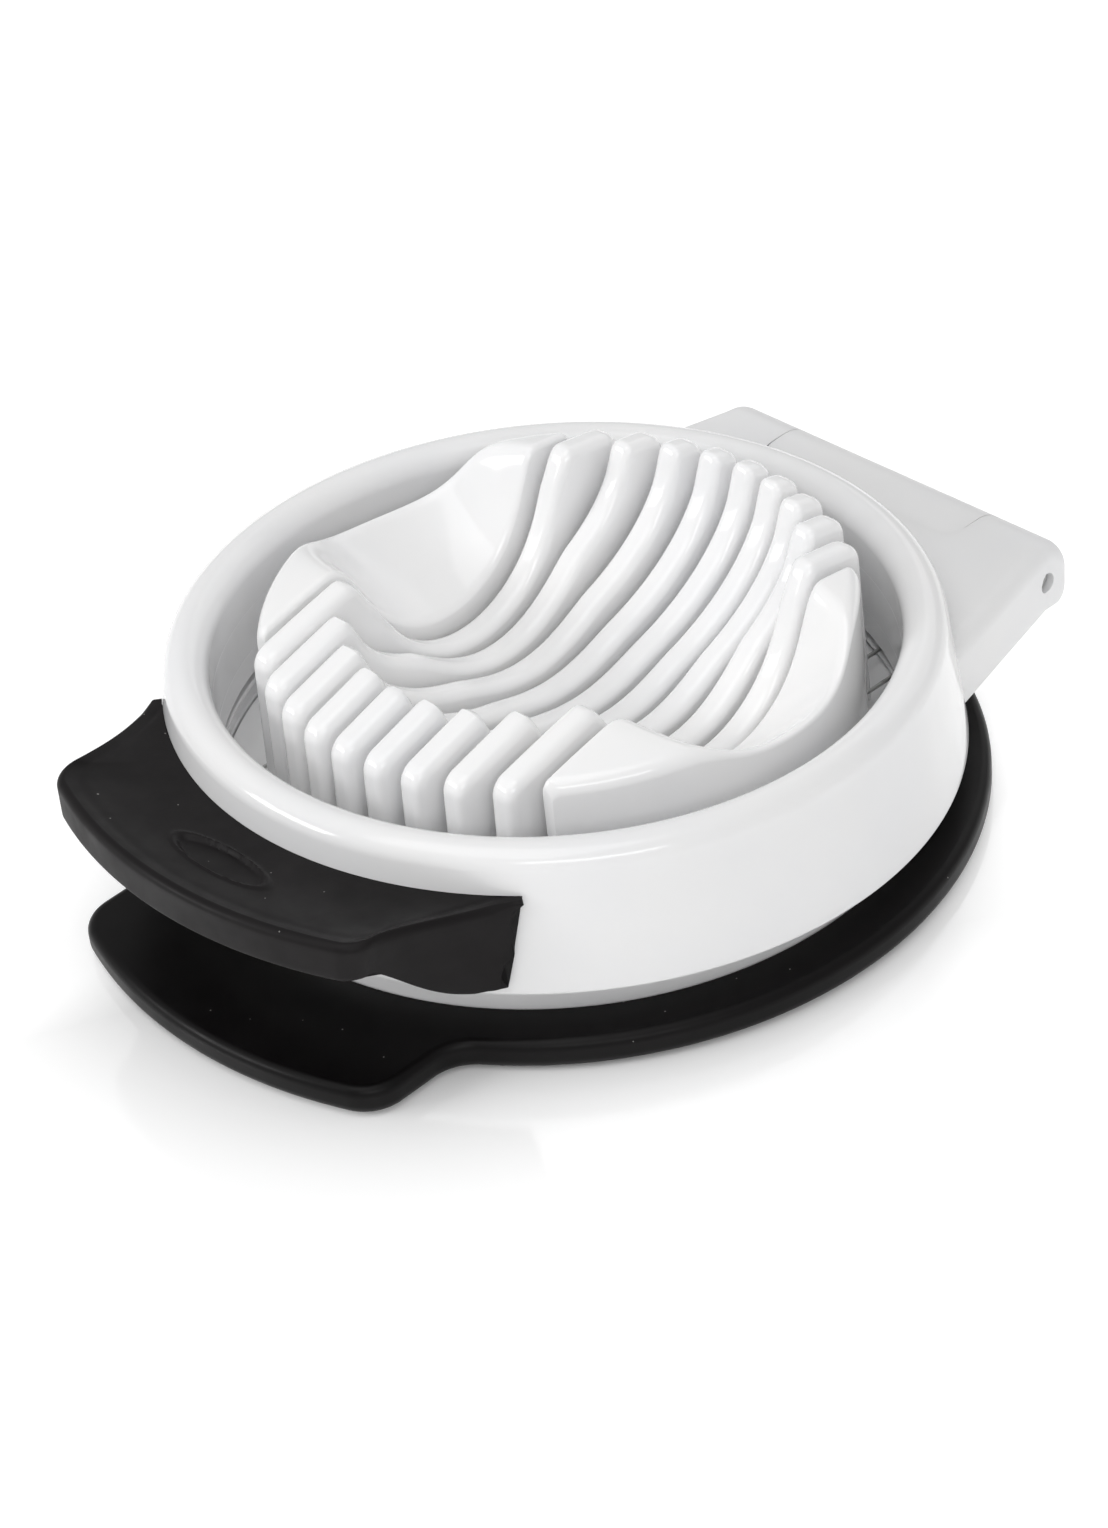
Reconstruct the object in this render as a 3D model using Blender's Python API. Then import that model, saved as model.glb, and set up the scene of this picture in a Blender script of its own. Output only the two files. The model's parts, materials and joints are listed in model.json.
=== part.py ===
"""Hand-held egg slicer: a padded base with a slotted egg cradle, and a hinged ring that carries
ten cutting wires. Metres, +Z up. The origin is on the table under the centre of the round base,
the hinge is towards +Y and the thumb grip towards -Y. The slicer is modelled closed."""
import bpy
import bmesh
from math import asin, cos, hypot, pi, radians, sin, sqrt
from mathutils import Matrix, Vector

# ---------------------------------------------------------------- driving dimensions
FIT_GAP = 0.0003

PAD_RADIUS = 0.0560
PAD_TOP = 0.0043
PAD_EDGE_ROUND = 0.0013
PAD_LOW_EDGE = 0.0012
TAB_REACH = 0.06745
TAB_HALF_WIDTH = 0.0282
TAB_CORNER = 0.0062
TAB_FILLET = 0.0060

DRUM_RADIUS = 0.0490
DRUM_BOTTOM = 0.0020
DRUM_TOP = 0.0068
DRUM_FLOOR_TOP = 0.0046
DRUM_EDGE = 0.0005
TRAY_RADIUS = 0.0460
ARM_TOP = 0.00655
ARM_FRONT = 0.0400
ARM_BACK = 0.0572
ARM_LIFT = 0.0002
KNUCKLE_HALF_WIDTH = 0.0177
REST_PAD_SPREAD = 0.0130
REST_PAD_TOP = 0.0101
REST_PAD_RADIUS = 0.0011
ABOVE_ALL = 0.0500

PIN_Y = 0.0631
PIN_Z = 0.0117
PIN_RADIUS = 0.00115
PIN_BORE = 0.00145
BARREL_RADIUS = 0.00545
KNUCKLE_FRONT_RADIUS = 0.0078
CLOSED_TILT = radians(1.9)

FRAME_BOTTOM = 0.0066
FRAME_OUTER_RADIUS = 0.0533
FRAME_WAIST_RADIUS = 0.0523
FRAME_WAIST_Z = 0.0140
FRAME_TOP_RADIUS = 0.0480
FRAME_TOP_ROUND = 0.0030
FRAME_TOP = 0.0261
FRAME_INNER_RADIUS = 0.0450
CHANNEL_INNER = 0.0470
CHANNEL_OUTER = 0.0498
CHANNEL_TOP = 0.0225
INNER_WALL_BOTTOM = 0.0087
FRAME_WALL_SLOPE = (FRAME_OUTER_RADIUS - FRAME_WAIST_RADIUS) / (FRAME_WAIST_Z - FRAME_BOTTOM)
BLOCK_HALF_WIDTH = 0.0298
BLOCK_TAPER = 0.25
BLOCK_BOTTOM = 0.0069
BLOCK_FRONT = 0.0350
BLOCK_EDGE_ROUND = 0.0026
BLOCK_BOTTOM_CHAMFER = 0.0008
TONGUE_REACH = 0.0630
TONGUE_HALF_WIDTH = 0.0220
TONGUE_BOTTOM = 0.0155
TONGUE_TOP = 0.0185
TONGUE_ROOT = 0.0510

GRIP_REACH = 0.0678
GRIP_HALF_WIDTH = 0.0284
GRIP_CORNER = 0.0045
GRIP_SIDE_LEAN = radians(-8)
GRIP_SIDE_PULL = (0.0006, 0.0062)
GRIP_END_ANGLE = radians(40)
GRIP_END_PULL = (-0.0022, -0.0054)
GRIP_END_SLANT = radians(2.5)
GRIP_TOP_INNER = 0.0205
GRIP_TOP_OUTER = 0.0230
GRIP_FRONT_HEIGHT = 0.0055
GRIP_BOTTOM_INNER = 0.0084
GRIP_SKIN = 0.0012
GRIP_EDGE = 0.0008
GRIP_DISH = 0.20

WIRE_RADIUS = 0.0003
WIRE_Z = 0.0081
WIRE_HOOK_HEIGHT = 0.0036
WIRE_END_RADIUS = 0.0484
WIRE_BEND = 0.0009
WIRE_COUNT = 10

RIB_PITCH = 0.00552
RIB_WIDTH = 0.0040
RIB_EDGE = 0.0009
CRADLE_RADIUS = 0.0392
CRADLE_DRAFT = 0.0007
CRADLE_Y = 0.0014
CRADLE_FLOOR_BOTTOM = DRUM_FLOOR_TOP + FIT_GAP
CRADLE_FLOOR_TOP = 0.0068
CRADLE_FOOT = CRADLE_FLOOR_TOP - 0.0005
SHOULDER_Z = 0.0309
SHOULDER_ROUND = 0.0013
CROWN_SLOPE = 0.265
CROWN_TILT = 0.024
BOWL_Y = 0.0042
BOWL_BOTTOM = 0.0140
BOWL_RIM = 0.0345
BOWL_HALF_LENGTH = 0.0322
BOWL_FRONT_LENGTH = 0.0303
BOWL_HALF_WIDTH = 0.0278
RIM_BLEND = 0.0030
RIM_RISE = 0.030
SCOOP_HALF_WIDTH = 0.0172
SCOOP_START = 0.0200
SCOOP_RISE = 0.0130
SCOOP_SHIFT = 0.0008
SCOOP_NARROWING = 0.18
END_PIECE_TIP = 0.0014

SCREW_X = 0.0330
SCREW_Y = 0.0150
SCREW_RADIUS = 0.0011
SCREW_HEAD_RADIUS = 0.0022
SCREW_TIP = 0.0135
SCREW_HEAD_HEIGHT = 0.0004
SCREW_CONE_HEIGHT = 0.0011
RETAINER_LIFT = 0.0002
PIN_RECESS = 0.0009
CHAMFER_SHARE = 0.29

ROUND_SEGMENTS = 80
SCREW_SEGMENTS = 12

WHITE_PLASTIC = ("white_plastic", (0.86, 0.86, 0.87, 1.0), 0.22, 0.0)
BLACK_RUBBER = ("black_rubber", (0.020, 0.018, 0.019, 1.0), 0.62, 0.0)
STEEL = ("steel", (0.62, 0.62, 0.62, 1.0), 0.30, 1.0)


# ---------------------------------------------------------------- scene helpers
def clear_scene():
    for thing in list(bpy.data.objects):
        bpy.data.objects.remove(thing, do_unlink=True)


def material(spec):
    name, colour, roughness, metallic = spec
    found = bpy.data.materials.get(name)
    if found:
        return found
    made = bpy.data.materials.new(name)
    made.use_nodes = True
    shader = made.node_tree.nodes["Principled BSDF"]
    shader.inputs["Base Color"].default_value = colour
    shader.inputs["Roughness"].default_value = roughness
    shader.inputs["Metallic"].default_value = metallic
    return made


def add_object(name, bm, spec, parent=None):
    """Turn a bmesh into a smooth-shaded object; under a parent, points are relative to it."""
    bmesh.ops.recalc_face_normals(bm, faces=bm.faces)
    mesh = bpy.data.meshes.new(name)
    bm.to_mesh(mesh)
    bm.free()
    mesh.materials.append(material(spec))
    mesh.shade_smooth()
    mesh.set_sharp_from_angle(angle=radians(32))
    thing = bpy.data.objects.new(name, mesh)
    bpy.context.scene.collection.objects.link(thing)
    thing.parent = parent
    return thing


def add_helper(name, bm, parent=None):
    """A shape that only joins or cuts another object."""
    helper = add_object(name, bm, WHITE_PLASTIC, parent)
    helper.hide_render = True
    helper.display_type = "WIRE"
    return helper


def combine(thing, helper, operation):
    step = thing.modifiers.new(helper.name, "BOOLEAN")
    step.operation = operation
    step.solver = "EXACT"
    step.object = helper


# ---------------------------------------------------------------- mesh helpers
def loft(loops, caps=True):
    """Closed solid through equal-length loops of points."""
    bm = bmesh.new()
    rings = [[bm.verts.new(p) for p in loop] for loop in loops]
    count = len(rings[0])
    for low, high in zip(rings, rings[1:]):
        for i in range(count):
            j = (i + 1) % count
            bm.faces.new((low[i], low[j], high[j], high[i]))
    if caps:
        bm.faces.new(rings[0])
        bm.faces.new(rings[-1])
    return bm


def turn(profile, segments=ROUND_SEGMENTS):
    """Ring solid: a closed profile of (radius, z) points, none on the axis, turned about Z."""
    bm = bmesh.new()
    rings = []
    for k in range(segments):
        angle = 2 * pi * k / segments
        rings.append([bm.verts.new((r * cos(angle), r * sin(angle), z)) for r, z in profile])
    for k in range(segments):
        here, there = rings[k], rings[(k + 1) % segments]
        for i in range(len(profile)):
            j = (i + 1) % len(profile)
            bm.faces.new((here[i], here[j], there[j], there[i]))
    return bm


def disc(levels, segments=ROUND_SEGMENTS, centre=(0.0, 0.0)):
    """Solid of revolution from (radius, z) levels, flat at both ends."""
    loops = []
    for r, z in levels:
        angles = (2 * pi * k / segments for k in range(segments))
        loops.append([(centre[0] + r * cos(a), centre[1] + r * sin(a), z) for a in angles])
    return loft(loops)


def rod_along_x(radius, half_length, y, z, segments=20):
    loops = []
    for x in (-half_length, half_length):
        angles = (2 * pi * k / segments for k in range(segments))
        loops.append([(x, y + radius * cos(a), z + radius * sin(a)) for a in angles])
    return loft(loops)


def slab_along_x(outline, half_width):
    """Extrude a closed (y, z) outline between two X planes."""
    return loft([[(x, y, z) for y, z in outline] for x in (-half_width, half_width)])


def arc(centre, radius, start, end, steps):
    return [(centre[0] + radius * cos(start + (end - start) * k / steps),
             centre[1] + radius * sin(start + (end - start) * k / steps)) for k in range(steps + 1)]


def inset(outline, distance):
    """Move each point of a counter-clockwise outline inwards along its normal."""
    moved = []
    for i, point in enumerate(outline):
        before, after = outline[i - 1], outline[(i + 1) % len(outline)]
        tangent = Vector((after[0] - before[0], after[1] - before[1])).normalized()
        moved.append((point[0] - tangent.y * distance, point[1] + tangent.x * distance))
    return moved


def stack(outline, levels):
    """Solid through insets of one outline; levels are (inset, z) pairs."""
    return loft([[(x, y, z) for x, y in inset(outline, d)] for d, z in levels])


def mirrored(right_half):
    """Close a right-hand outline, listed front to back, with its mirror image."""
    return right_half + [(-x, y) for x, y in reversed(right_half) if x > 1e-6]


def about_pin(bm):
    """Shift a closed-position shape so that its origin lies on the hinge axis."""
    bmesh.ops.translate(bm, verts=bm.verts, vec=(0.0, -PIN_Y, -PIN_Z))
    return bm


# ---------------------------------------------------------------- base
def tab_outline(disc_radius, reach, half_width, corner, fillet):
    """Round plate with a front tab: disc arc, concave fillet, straight side, rounded corner
    and a front edge that is concentric with the disc."""
    fillet_x = half_width + fillet
    fillet_y = -sqrt((disc_radius + fillet) ** 2 - fillet_x ** 2)
    touch = asin(fillet_x / (disc_radius + fillet))
    corner_x = half_width - corner
    corner_y = -sqrt((reach - corner) ** 2 - corner_x ** 2)
    lean = asin(corner_x / (reach - corner))
    half = arc((0.0, 0.0), reach, -pi / 2, -pi / 2 + lean, 7)
    half += arc((corner_x, corner_y), corner, -pi / 2 + lean, 0.0, 6)[1:]
    half += arc((fillet_x, fillet_y), fillet, pi, pi / 2 + touch, 5)
    half += arc((0.0, 0.0), disc_radius, -pi / 2 + touch, pi / 2, 30)[1:]
    return mirrored(half)


def knuckle_outline():
    """Side view of the arm and the hinge knuckle; the knuckle's front is round about the pin."""
    rise = PIN_Z + BARREL_RADIUS
    front_top = pi - asin(BARREL_RADIUS / KNUCKLE_FRONT_RADIUS)
    front_low = pi + asin((PIN_Z - ARM_TOP) / KNUCKLE_FRONT_RADIUS)
    pin = (PIN_Y, PIN_Z)
    bottom = DRUM_BOTTOM + ARM_LIFT
    outline = [(ARM_FRONT, bottom), (ARM_BACK, bottom)]
    outline += arc(pin, BARREL_RADIUS, -radians(100), pi / 2, 12)
    outline += arc(pin, KNUCKLE_FRONT_RADIUS, front_top, front_low, 6)
    outline += [(ARM_FRONT, ARM_TOP)]
    return outline


def make_base_pad():
    outline = tab_outline(PAD_RADIUS, TAB_REACH, TAB_HALF_WIDTH, TAB_CORNER, TAB_FILLET)
    r = PAD_EDGE_ROUND
    low_edge, share = PAD_LOW_EDGE, CHAMFER_SHARE
    levels = [(low_edge, 0.0), (0.0, low_edge), (0.0, PAD_TOP - r), (share * r, PAD_TOP - share * r),
              (r, PAD_TOP)]
    pad = add_object("base_pad", stack(outline, levels), BLACK_RUBBER)
    recess_floor = DRUM_BOTTOM - FIT_GAP
    recess = disc([(DRUM_RADIUS + FIT_GAP, recess_floor), (DRUM_RADIUS + FIT_GAP, ABOVE_ALL)])
    combine(pad, add_helper("pad_recess", recess), "DIFFERENCE")
    low, far = recess_floor - 0.0001, 2 * ABOVE_ALL
    channel = slab_along_x([(0.0, low), (far, low), (far, ABOVE_ALL), (0.0, ABOVE_ALL)],
                           KNUCKLE_HALF_WIDTH + FIT_GAP)
    combine(pad, add_helper("pad_arm_recess", channel), "DIFFERENCE")


def screw_places():
    return [(sx * SCREW_X, CRADLE_Y + sy * SCREW_Y) for sx in (-1, 1) for sy in (-1, 1)]


def make_base_body():
    drum = disc([(DRUM_RADIUS, DRUM_BOTTOM), (DRUM_RADIUS, DRUM_TOP - DRUM_EDGE),
                 (DRUM_RADIUS - DRUM_EDGE, DRUM_TOP)])
    body = add_object("base_body", drum, WHITE_PLASTIC)
    knuckle = slab_along_x(knuckle_outline(), KNUCKLE_HALF_WIDTH)
    combine(body, add_helper("base_knuckle", knuckle), "UNION")
    tray = disc([(TRAY_RADIUS, DRUM_FLOOR_TOP), (TRAY_RADIUS, ABOVE_ALL)])
    combine(body, add_helper("base_tray", tray), "DIFFERENCE")
    bore = rod_along_x(PIN_BORE, KNUCKLE_HALF_WIDTH + 0.001, PIN_Y, PIN_Z)
    combine(body, add_helper("base_bore", bore), "DIFFERENCE")
    for side in (-1, 1):
        make_rest_pad(body, side)
    head, shank = SCREW_HEAD_RADIUS + FIT_GAP, SCREW_RADIUS + FIT_GAP
    cone = DRUM_BOTTOM + SCREW_HEAD_HEIGHT + FIT_GAP
    for index, place in enumerate(screw_places()):
        sink = disc([(head, DRUM_BOTTOM - FIT_GAP), (head, cone), (shank, cone + SCREW_CONE_HEIGHT),
                     (shank, DRUM_FLOOR_TOP + FIT_GAP)], SCREW_SEGMENTS, place)
        combine(body, add_helper("base_sink_%d" % (index + 1), sink), "DIFFERENCE")


def make_rest_pad(body, side):
    """Small post on the drum's rim that the closed ring comes down on."""
    x = side * REST_PAD_SPREAD
    y = -sqrt((0.5 * (TRAY_RADIUS + DRUM_RADIUS)) ** 2 - x ** 2)
    post = disc([(REST_PAD_RADIUS, DRUM_TOP - 0.001), (0.85 * REST_PAD_RADIUS, REST_PAD_TOP)], 10, (x, y))
    combine(body, add_helper("rest_pad_%s" % ("right" if side > 0 else "left"), post), "UNION")


# ---------------------------------------------------------------- egg cradle
def smooth_min(a, b, blend):
    h = max(blend - abs(a - b), 0.0) / blend
    return min(a, b) - h * h * blend / 4


def hollow(bottom, distance):
    """Round trough wall: distance is 0 on the centre line and 1 at the rim."""
    if distance < 1.0:
        return bottom + (BOWL_RIM - bottom) * (1 - sqrt(1 - distance * distance))
    return BOWL_RIM + RIM_RISE * (distance - 1.0)


def cradle_height(x, y):
    """Top of the cradle: a shallow crown cut by a lengthwise bowl and a crosswise scoop."""
    from_rim = CRADLE_RADIUS - hypot(x, y - CRADLE_Y)
    crown = SHOULDER_Z + CROWN_SLOPE * from_rim + CROWN_TILT * (y - CRADLE_Y)
    half_length = BOWL_FRONT_LENGTH if y < BOWL_Y else BOWL_HALF_LENGTH
    bowl = hollow(BOWL_BOTTOM, hypot(x / BOWL_HALF_WIDTH, (y - BOWL_Y) / half_length))
    along = max(abs(x) - SCOOP_START, 0.0) / (CRADLE_RADIUS - SCOOP_START)
    half_width = SCOOP_HALF_WIDTH * (1 - SCOOP_NARROWING * along)
    across = abs(y - BOWL_Y - SCOOP_SHIFT) / half_width
    scoop = hollow(BOWL_BOTTOM + SCOOP_RISE * along ** 1.6, across)
    return smooth_min(smooth_min(bowl, scoop, RIM_BLEND), crown, RIM_BLEND)


def rib_path(x):
    """Side view of a rib from the front foot over the top to the back foot."""
    reach = sqrt(CRADLE_RADIUS ** 2 - x * x)
    front, back = CRADLE_Y - reach, CRADLE_Y + reach
    r, share = SHOULDER_ROUND, CHAMFER_SHARE
    top = []
    steps = 18
    for k in range(steps + 1):
        y = front + r + (back - front - 2 * r) * (0.5 - 0.5 * cos(pi * k / steps))
        top.append((y, cradle_height(x, y)))
    first, last = top[0][1], top[-1][1]
    rise = [(front - CRADLE_DRAFT, CRADLE_FOOT), (front, first - r),
            (front + share * r, first - share * r)]
    fall = [(back - share * r, last - share * r), (back, last - r), (back + CRADLE_DRAFT, CRADLE_FOOT)]
    return rise + top + fall


def add_rib(bm, x):
    """Rib with bevelled top edges: four strips of points follow the path."""
    path = rib_path(x)
    half, edge = RIB_WIDTH / 2, RIB_EDGE
    rows = []
    for i, (y, z) in enumerate(path):
        before, after = path[max(i - 1, 0)], path[min(i + 1, len(path) - 1)]
        tangent = Vector((after[0] - before[0], after[1] - before[1])).normalized()
        low_y, low_z = y + tangent.y * edge, z - tangent.x * edge
        if i in (0, len(path) - 1):
            low_z = z
        rows.append([bm.verts.new(p) for p in ((x - half, low_y, low_z), (x - half + edge, y, z),
                                               (x + half - edge, y, z), (x + half, low_y, low_z))])
    for here, there in zip(rows, rows[1:]):
        for a in range(3):
            bm.faces.new((here[a], here[a + 1], there[a + 1], there[a]))
    bm.faces.new([row[0] for row in rows])
    bm.faces.new([row[3] for row in reversed(rows)])
    bm.faces.new(rows[0] + list(reversed(rows[-1])))


def add_end_piece(bm, side):
    """Scooped end of the cradle, outside the last slot."""
    inner = (WIRE_COUNT / 2 - 0.5) * RIB_PITCH + (RIB_PITCH - RIB_WIDTH) / 2
    reach = sqrt(CRADLE_RADIUS ** 2 - (inner + END_PIECE_TIP) ** 2)
    rows = []
    steps = 16
    for k in range(steps + 1):
        y = CRADLE_Y - reach * cos(pi * k / steps)
        outer = sqrt(max(CRADLE_RADIUS ** 2 - (y - CRADLE_Y) ** 2, 0.0))
        row = []
        for u in (0.0, 0.06, 0.25, 0.5, 0.75, 0.92, 1.0):
            x = inner + (outer - inner) * u
            drop = RIB_EDGE if u in (0.0, 1.0) or k in (0, steps) else 0.0
            row.append((side * x, y, cradle_height(x, y) - drop))
        rows.append(row)
    add_grid_solid(bm, rows, CRADLE_FOOT)


def add_grid_solid(bm, rows, foot):
    """Solid under a grid of top points, with upright walls down to a flat foot."""
    top = [[bm.verts.new(p) for p in row] for row in rows]
    for low, high in zip(top, top[1:]):
        for a, b, c, d in zip(low, low[1:], high[1:], high):
            bm.faces.new((a, b, c, d))
    rim = top[0][:-1] + [row[-1] for row in top[:-1]] + top[-1][:0:-1] + [row[0] for row in top[:0:-1]]
    base = []
    for vert in rim:
        x, y, _ = vert.co
        base.append(bm.verts.new((x, y, foot)))
    for i in range(len(rim)):
        j = (i + 1) % len(rim)
        bm.faces.new((rim[i], rim[j], base[j], base[i]))
    bm.faces.new(base)


def make_egg_cradle():
    floor_radius = TRAY_RADIUS - FIT_GAP
    floor = disc([(floor_radius, CRADLE_FLOOR_BOTTOM), (floor_radius, CRADLE_FLOOR_TOP)])
    cradle = add_object("egg_cradle", floor, WHITE_PLASTIC)
    bm = bmesh.new()
    for index in range(1, WIRE_COUNT):
        add_rib(bm, (index - WIRE_COUNT / 2) * RIB_PITCH)
    for side in (-1, 1):
        add_end_piece(bm, side)
    combine(cradle, add_helper("cradle_ribs", bm), "UNION")
    for index, place in enumerate(screw_places()):
        hole = disc([(SCREW_RADIUS + FIT_GAP, CRADLE_FLOOR_BOTTOM - 0.001),
                     (SCREW_RADIUS + FIT_GAP, SCREW_TIP + FIT_GAP)], SCREW_SEGMENTS, place)
        combine(cradle, add_helper("cradle_hole_%d" % (index + 1), hole), "DIFFERENCE")


def make_cradle_screws():
    cone = DRUM_BOTTOM + SCREW_HEAD_HEIGHT
    r = SCREW_RADIUS
    levels = [(SCREW_HEAD_RADIUS, DRUM_BOTTOM), (SCREW_HEAD_RADIUS, cone), (r, cone + SCREW_CONE_HEIGHT),
              (r, SCREW_TIP - r), (0.4 * r, SCREW_TIP)]
    for index, place in enumerate(screw_places()):
        add_object("cradle_screw_%d" % (index + 1), disc(levels, SCREW_SEGMENTS, place), STEEL)


# ---------------------------------------------------------------- wire frame
def frame_profile():
    """Hollow section of the ring: outer wall, rounded top, inner wall and the wire channel."""
    round_z = FRAME_TOP - FRAME_TOP_ROUND
    outer = [(FRAME_OUTER_RADIUS - 0.0004, FRAME_BOTTOM), (FRAME_OUTER_RADIUS, FRAME_BOTTOM + 0.0004),
             (FRAME_WAIST_RADIUS, FRAME_WAIST_Z)]
    top = arc((FRAME_TOP_RADIUS, round_z), FRAME_TOP_ROUND, radians(12), radians(180), 7)
    inner = [(FRAME_INNER_RADIUS, INNER_WALL_BOTTOM)]
    channel = [(CHANNEL_INNER, INNER_WALL_BOTTOM), (CHANNEL_INNER, CHANNEL_TOP - 0.001),
               (CHANNEL_INNER + 0.0008, CHANNEL_TOP), (CHANNEL_OUTER - 0.0008, CHANNEL_TOP),
               (CHANNEL_OUTER, CHANNEL_TOP - 0.001), (CHANNEL_OUTER, FRAME_BOTTOM)]
    return outer + top + inner + channel


def block_half_width(y):
    """Half-width of the hinge block: it tapers out towards the ring and rounds off at the back."""
    past = y - (PIN_Y + BARREL_RADIUS - BLOCK_EDGE_ROUND)
    if past > 0.0:
        return BLOCK_HALF_WIDTH - BLOCK_EDGE_ROUND + sqrt(BLOCK_EDGE_ROUND ** 2 - past ** 2)
    return BLOCK_HALF_WIDTH + BLOCK_TAPER * max(PIN_Y - y, 0.0)


def block_section(y, top, bottom):
    """Cross-section of the hinge block with rounded top corners."""
    half = block_half_width(y)
    rounding = min(BLOCK_EDGE_ROUND, 0.4 * (top - bottom))
    chamfer = min(BLOCK_BOTTOM_CHAMFER, rounding)
    corner = arc((half - rounding, top - rounding), rounding, 0.0, pi / 2, 4)
    right = [(half - chamfer, bottom), (half, bottom + chamfer)] + corner
    return [(x, y, z) for x, z in right + [(-x, z) for x, z in reversed(right)]]


def hinge_block():
    """Block behind the ring, rounded about the pin at its back."""
    flat = 9
    stations = []
    for k in range(flat):
        y = BLOCK_FRONT + (PIN_Y - BLOCK_FRONT) * k / flat
        stations.append((y, PIN_Z + BARREL_RADIUS, BLOCK_BOTTOM))
    for angle in (90, 72, 54, 38, 24, 12, 4):
        rise = BARREL_RADIUS * sin(radians(angle))
        y = PIN_Y + BARREL_RADIUS * cos(radians(angle))
        stations.append((y, PIN_Z + rise, max(PIN_Z - rise, BLOCK_BOTTOM)))
    return loft([block_section(*station) for station in stations])


def knuckle_pocket():
    """Room for the base's knuckle, round about the pin in front and open behind."""
    radius = KNUCKLE_FRONT_RADIUS + FIT_GAP
    front = arc((PIN_Y, PIN_Z), radius, radians(110), radians(250), 12)
    behind = PIN_Y + 2 * radius
    outline = [(behind, front[0][1])] + front + [(behind, front[-1][1])]
    return slab_along_x(outline, KNUCKLE_HALF_WIDTH + FIT_GAP)


def tongue(clearance):
    """Stiff tongue of the ring inside the soft grip."""
    lean = asin((TONGUE_HALF_WIDTH + clearance) / TONGUE_REACH)
    outer = arc((0.0, 0.0), TONGUE_REACH + clearance, -pi / 2 - lean, -pi / 2 + lean, 10)
    inner = arc((0.0, 0.0), TONGUE_ROOT, -pi / 2 + lean * 1.18, -pi / 2 - lean * 1.18, 10)
    levels = (TONGUE_BOTTOM - clearance, TONGUE_TOP + clearance)
    return loft([[(x, y, z) for x, y in outer + inner] for z in levels])


def make_wire_frame(pivot):
    frame = add_object("wire_frame", about_pin(turn(frame_profile())), WHITE_PLASTIC, pivot)
    block = add_helper("frame_block", about_pin(hinge_block()), pivot)
    core = disc([(TONGUE_ROOT, -ABOVE_ALL), (TONGUE_ROOT, ABOVE_ALL)])
    combine(block, add_helper("frame_block_core", about_pin(core), pivot), "DIFFERENCE")
    combine(frame, block, "UNION")
    combine(frame, add_helper("frame_pocket", about_pin(knuckle_pocket()), pivot), "DIFFERENCE")
    bore = rod_along_x(PIN_BORE, ABOVE_ALL, PIN_Y, PIN_Z)
    combine(frame, add_helper("frame_bore", about_pin(bore), pivot), "DIFFERENCE")
    combine(frame, add_helper("frame_tongue", about_pin(tongue(0.0)), pivot), "UNION")


def make_wire_retainer(pivot):
    """Flat ring that closes the channel under the wire ends."""
    top = WIRE_Z - WIRE_RADIUS - FIT_GAP
    bottom = FRAME_BOTTOM + RETAINER_LIFT
    inner, outer = FRAME_INNER_RADIUS + RETAINER_LIFT, CHANNEL_OUTER - FIT_GAP
    profile = [(inner, bottom), (outer, bottom), (outer, top), (inner, top)]
    add_object("wire_retainer", about_pin(turn(profile, 64)), WHITE_PLASTIC, pivot)


def make_wires(pivot):
    """Ten straight wires whose ends hook up into the ring's channel."""
    bend, middle = WIRE_BEND, CHAMFER_SHARE * WIRE_BEND
    for index in range(WIRE_COUNT):
        x = (index - (WIRE_COUNT - 1) / 2) * RIB_PITCH
        reach = sqrt(WIRE_END_RADIUS ** 2 - x * x)
        half = [(0.0, WIRE_Z), (reach - bend, WIRE_Z), (reach - middle, WIRE_Z + middle),
                (reach, WIRE_Z + bend), (reach, WIRE_Z + WIRE_HOOK_HEIGHT)]
        points = [(x, -y, z) for y, z in reversed(half[1:])] + [(x, y, z) for y, z in half[1:]]
        name = "wire_%02d" % (index + 1)
        data = bpy.data.curves.new(name, "CURVE")
        data.dimensions = "3D"
        data.bevel_depth = WIRE_RADIUS
        data.bevel_resolution = 1
        data.use_fill_caps = True
        spline = data.splines.new("POLY")
        spline.points.add(len(points) - 1)
        for point, place in zip(spline.points, points):
            point.co = (place[0], place[1] - PIN_Y, place[2] - PIN_Z, 1.0)
        data.materials.append(material(STEEL))
        wire = bpy.data.objects.new(name, data)
        bpy.context.scene.collection.objects.link(wire)
        wire.parent = pivot


def make_hinge_pin(pivot):
    pin = rod_along_x(PIN_RADIUS, BLOCK_HALF_WIDTH - PIN_RECESS, PIN_Y, PIN_Z, 16)
    add_object("hinge_pin", about_pin(pin), STEEL, pivot)


# ---------------------------------------------------------------- grip
def wall_radius(z):
    """Outer radius of the ring's drafted wall."""
    return FRAME_OUTER_RADIUS - (z - FRAME_BOTTOM) * FRAME_WALL_SLOPE


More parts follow.
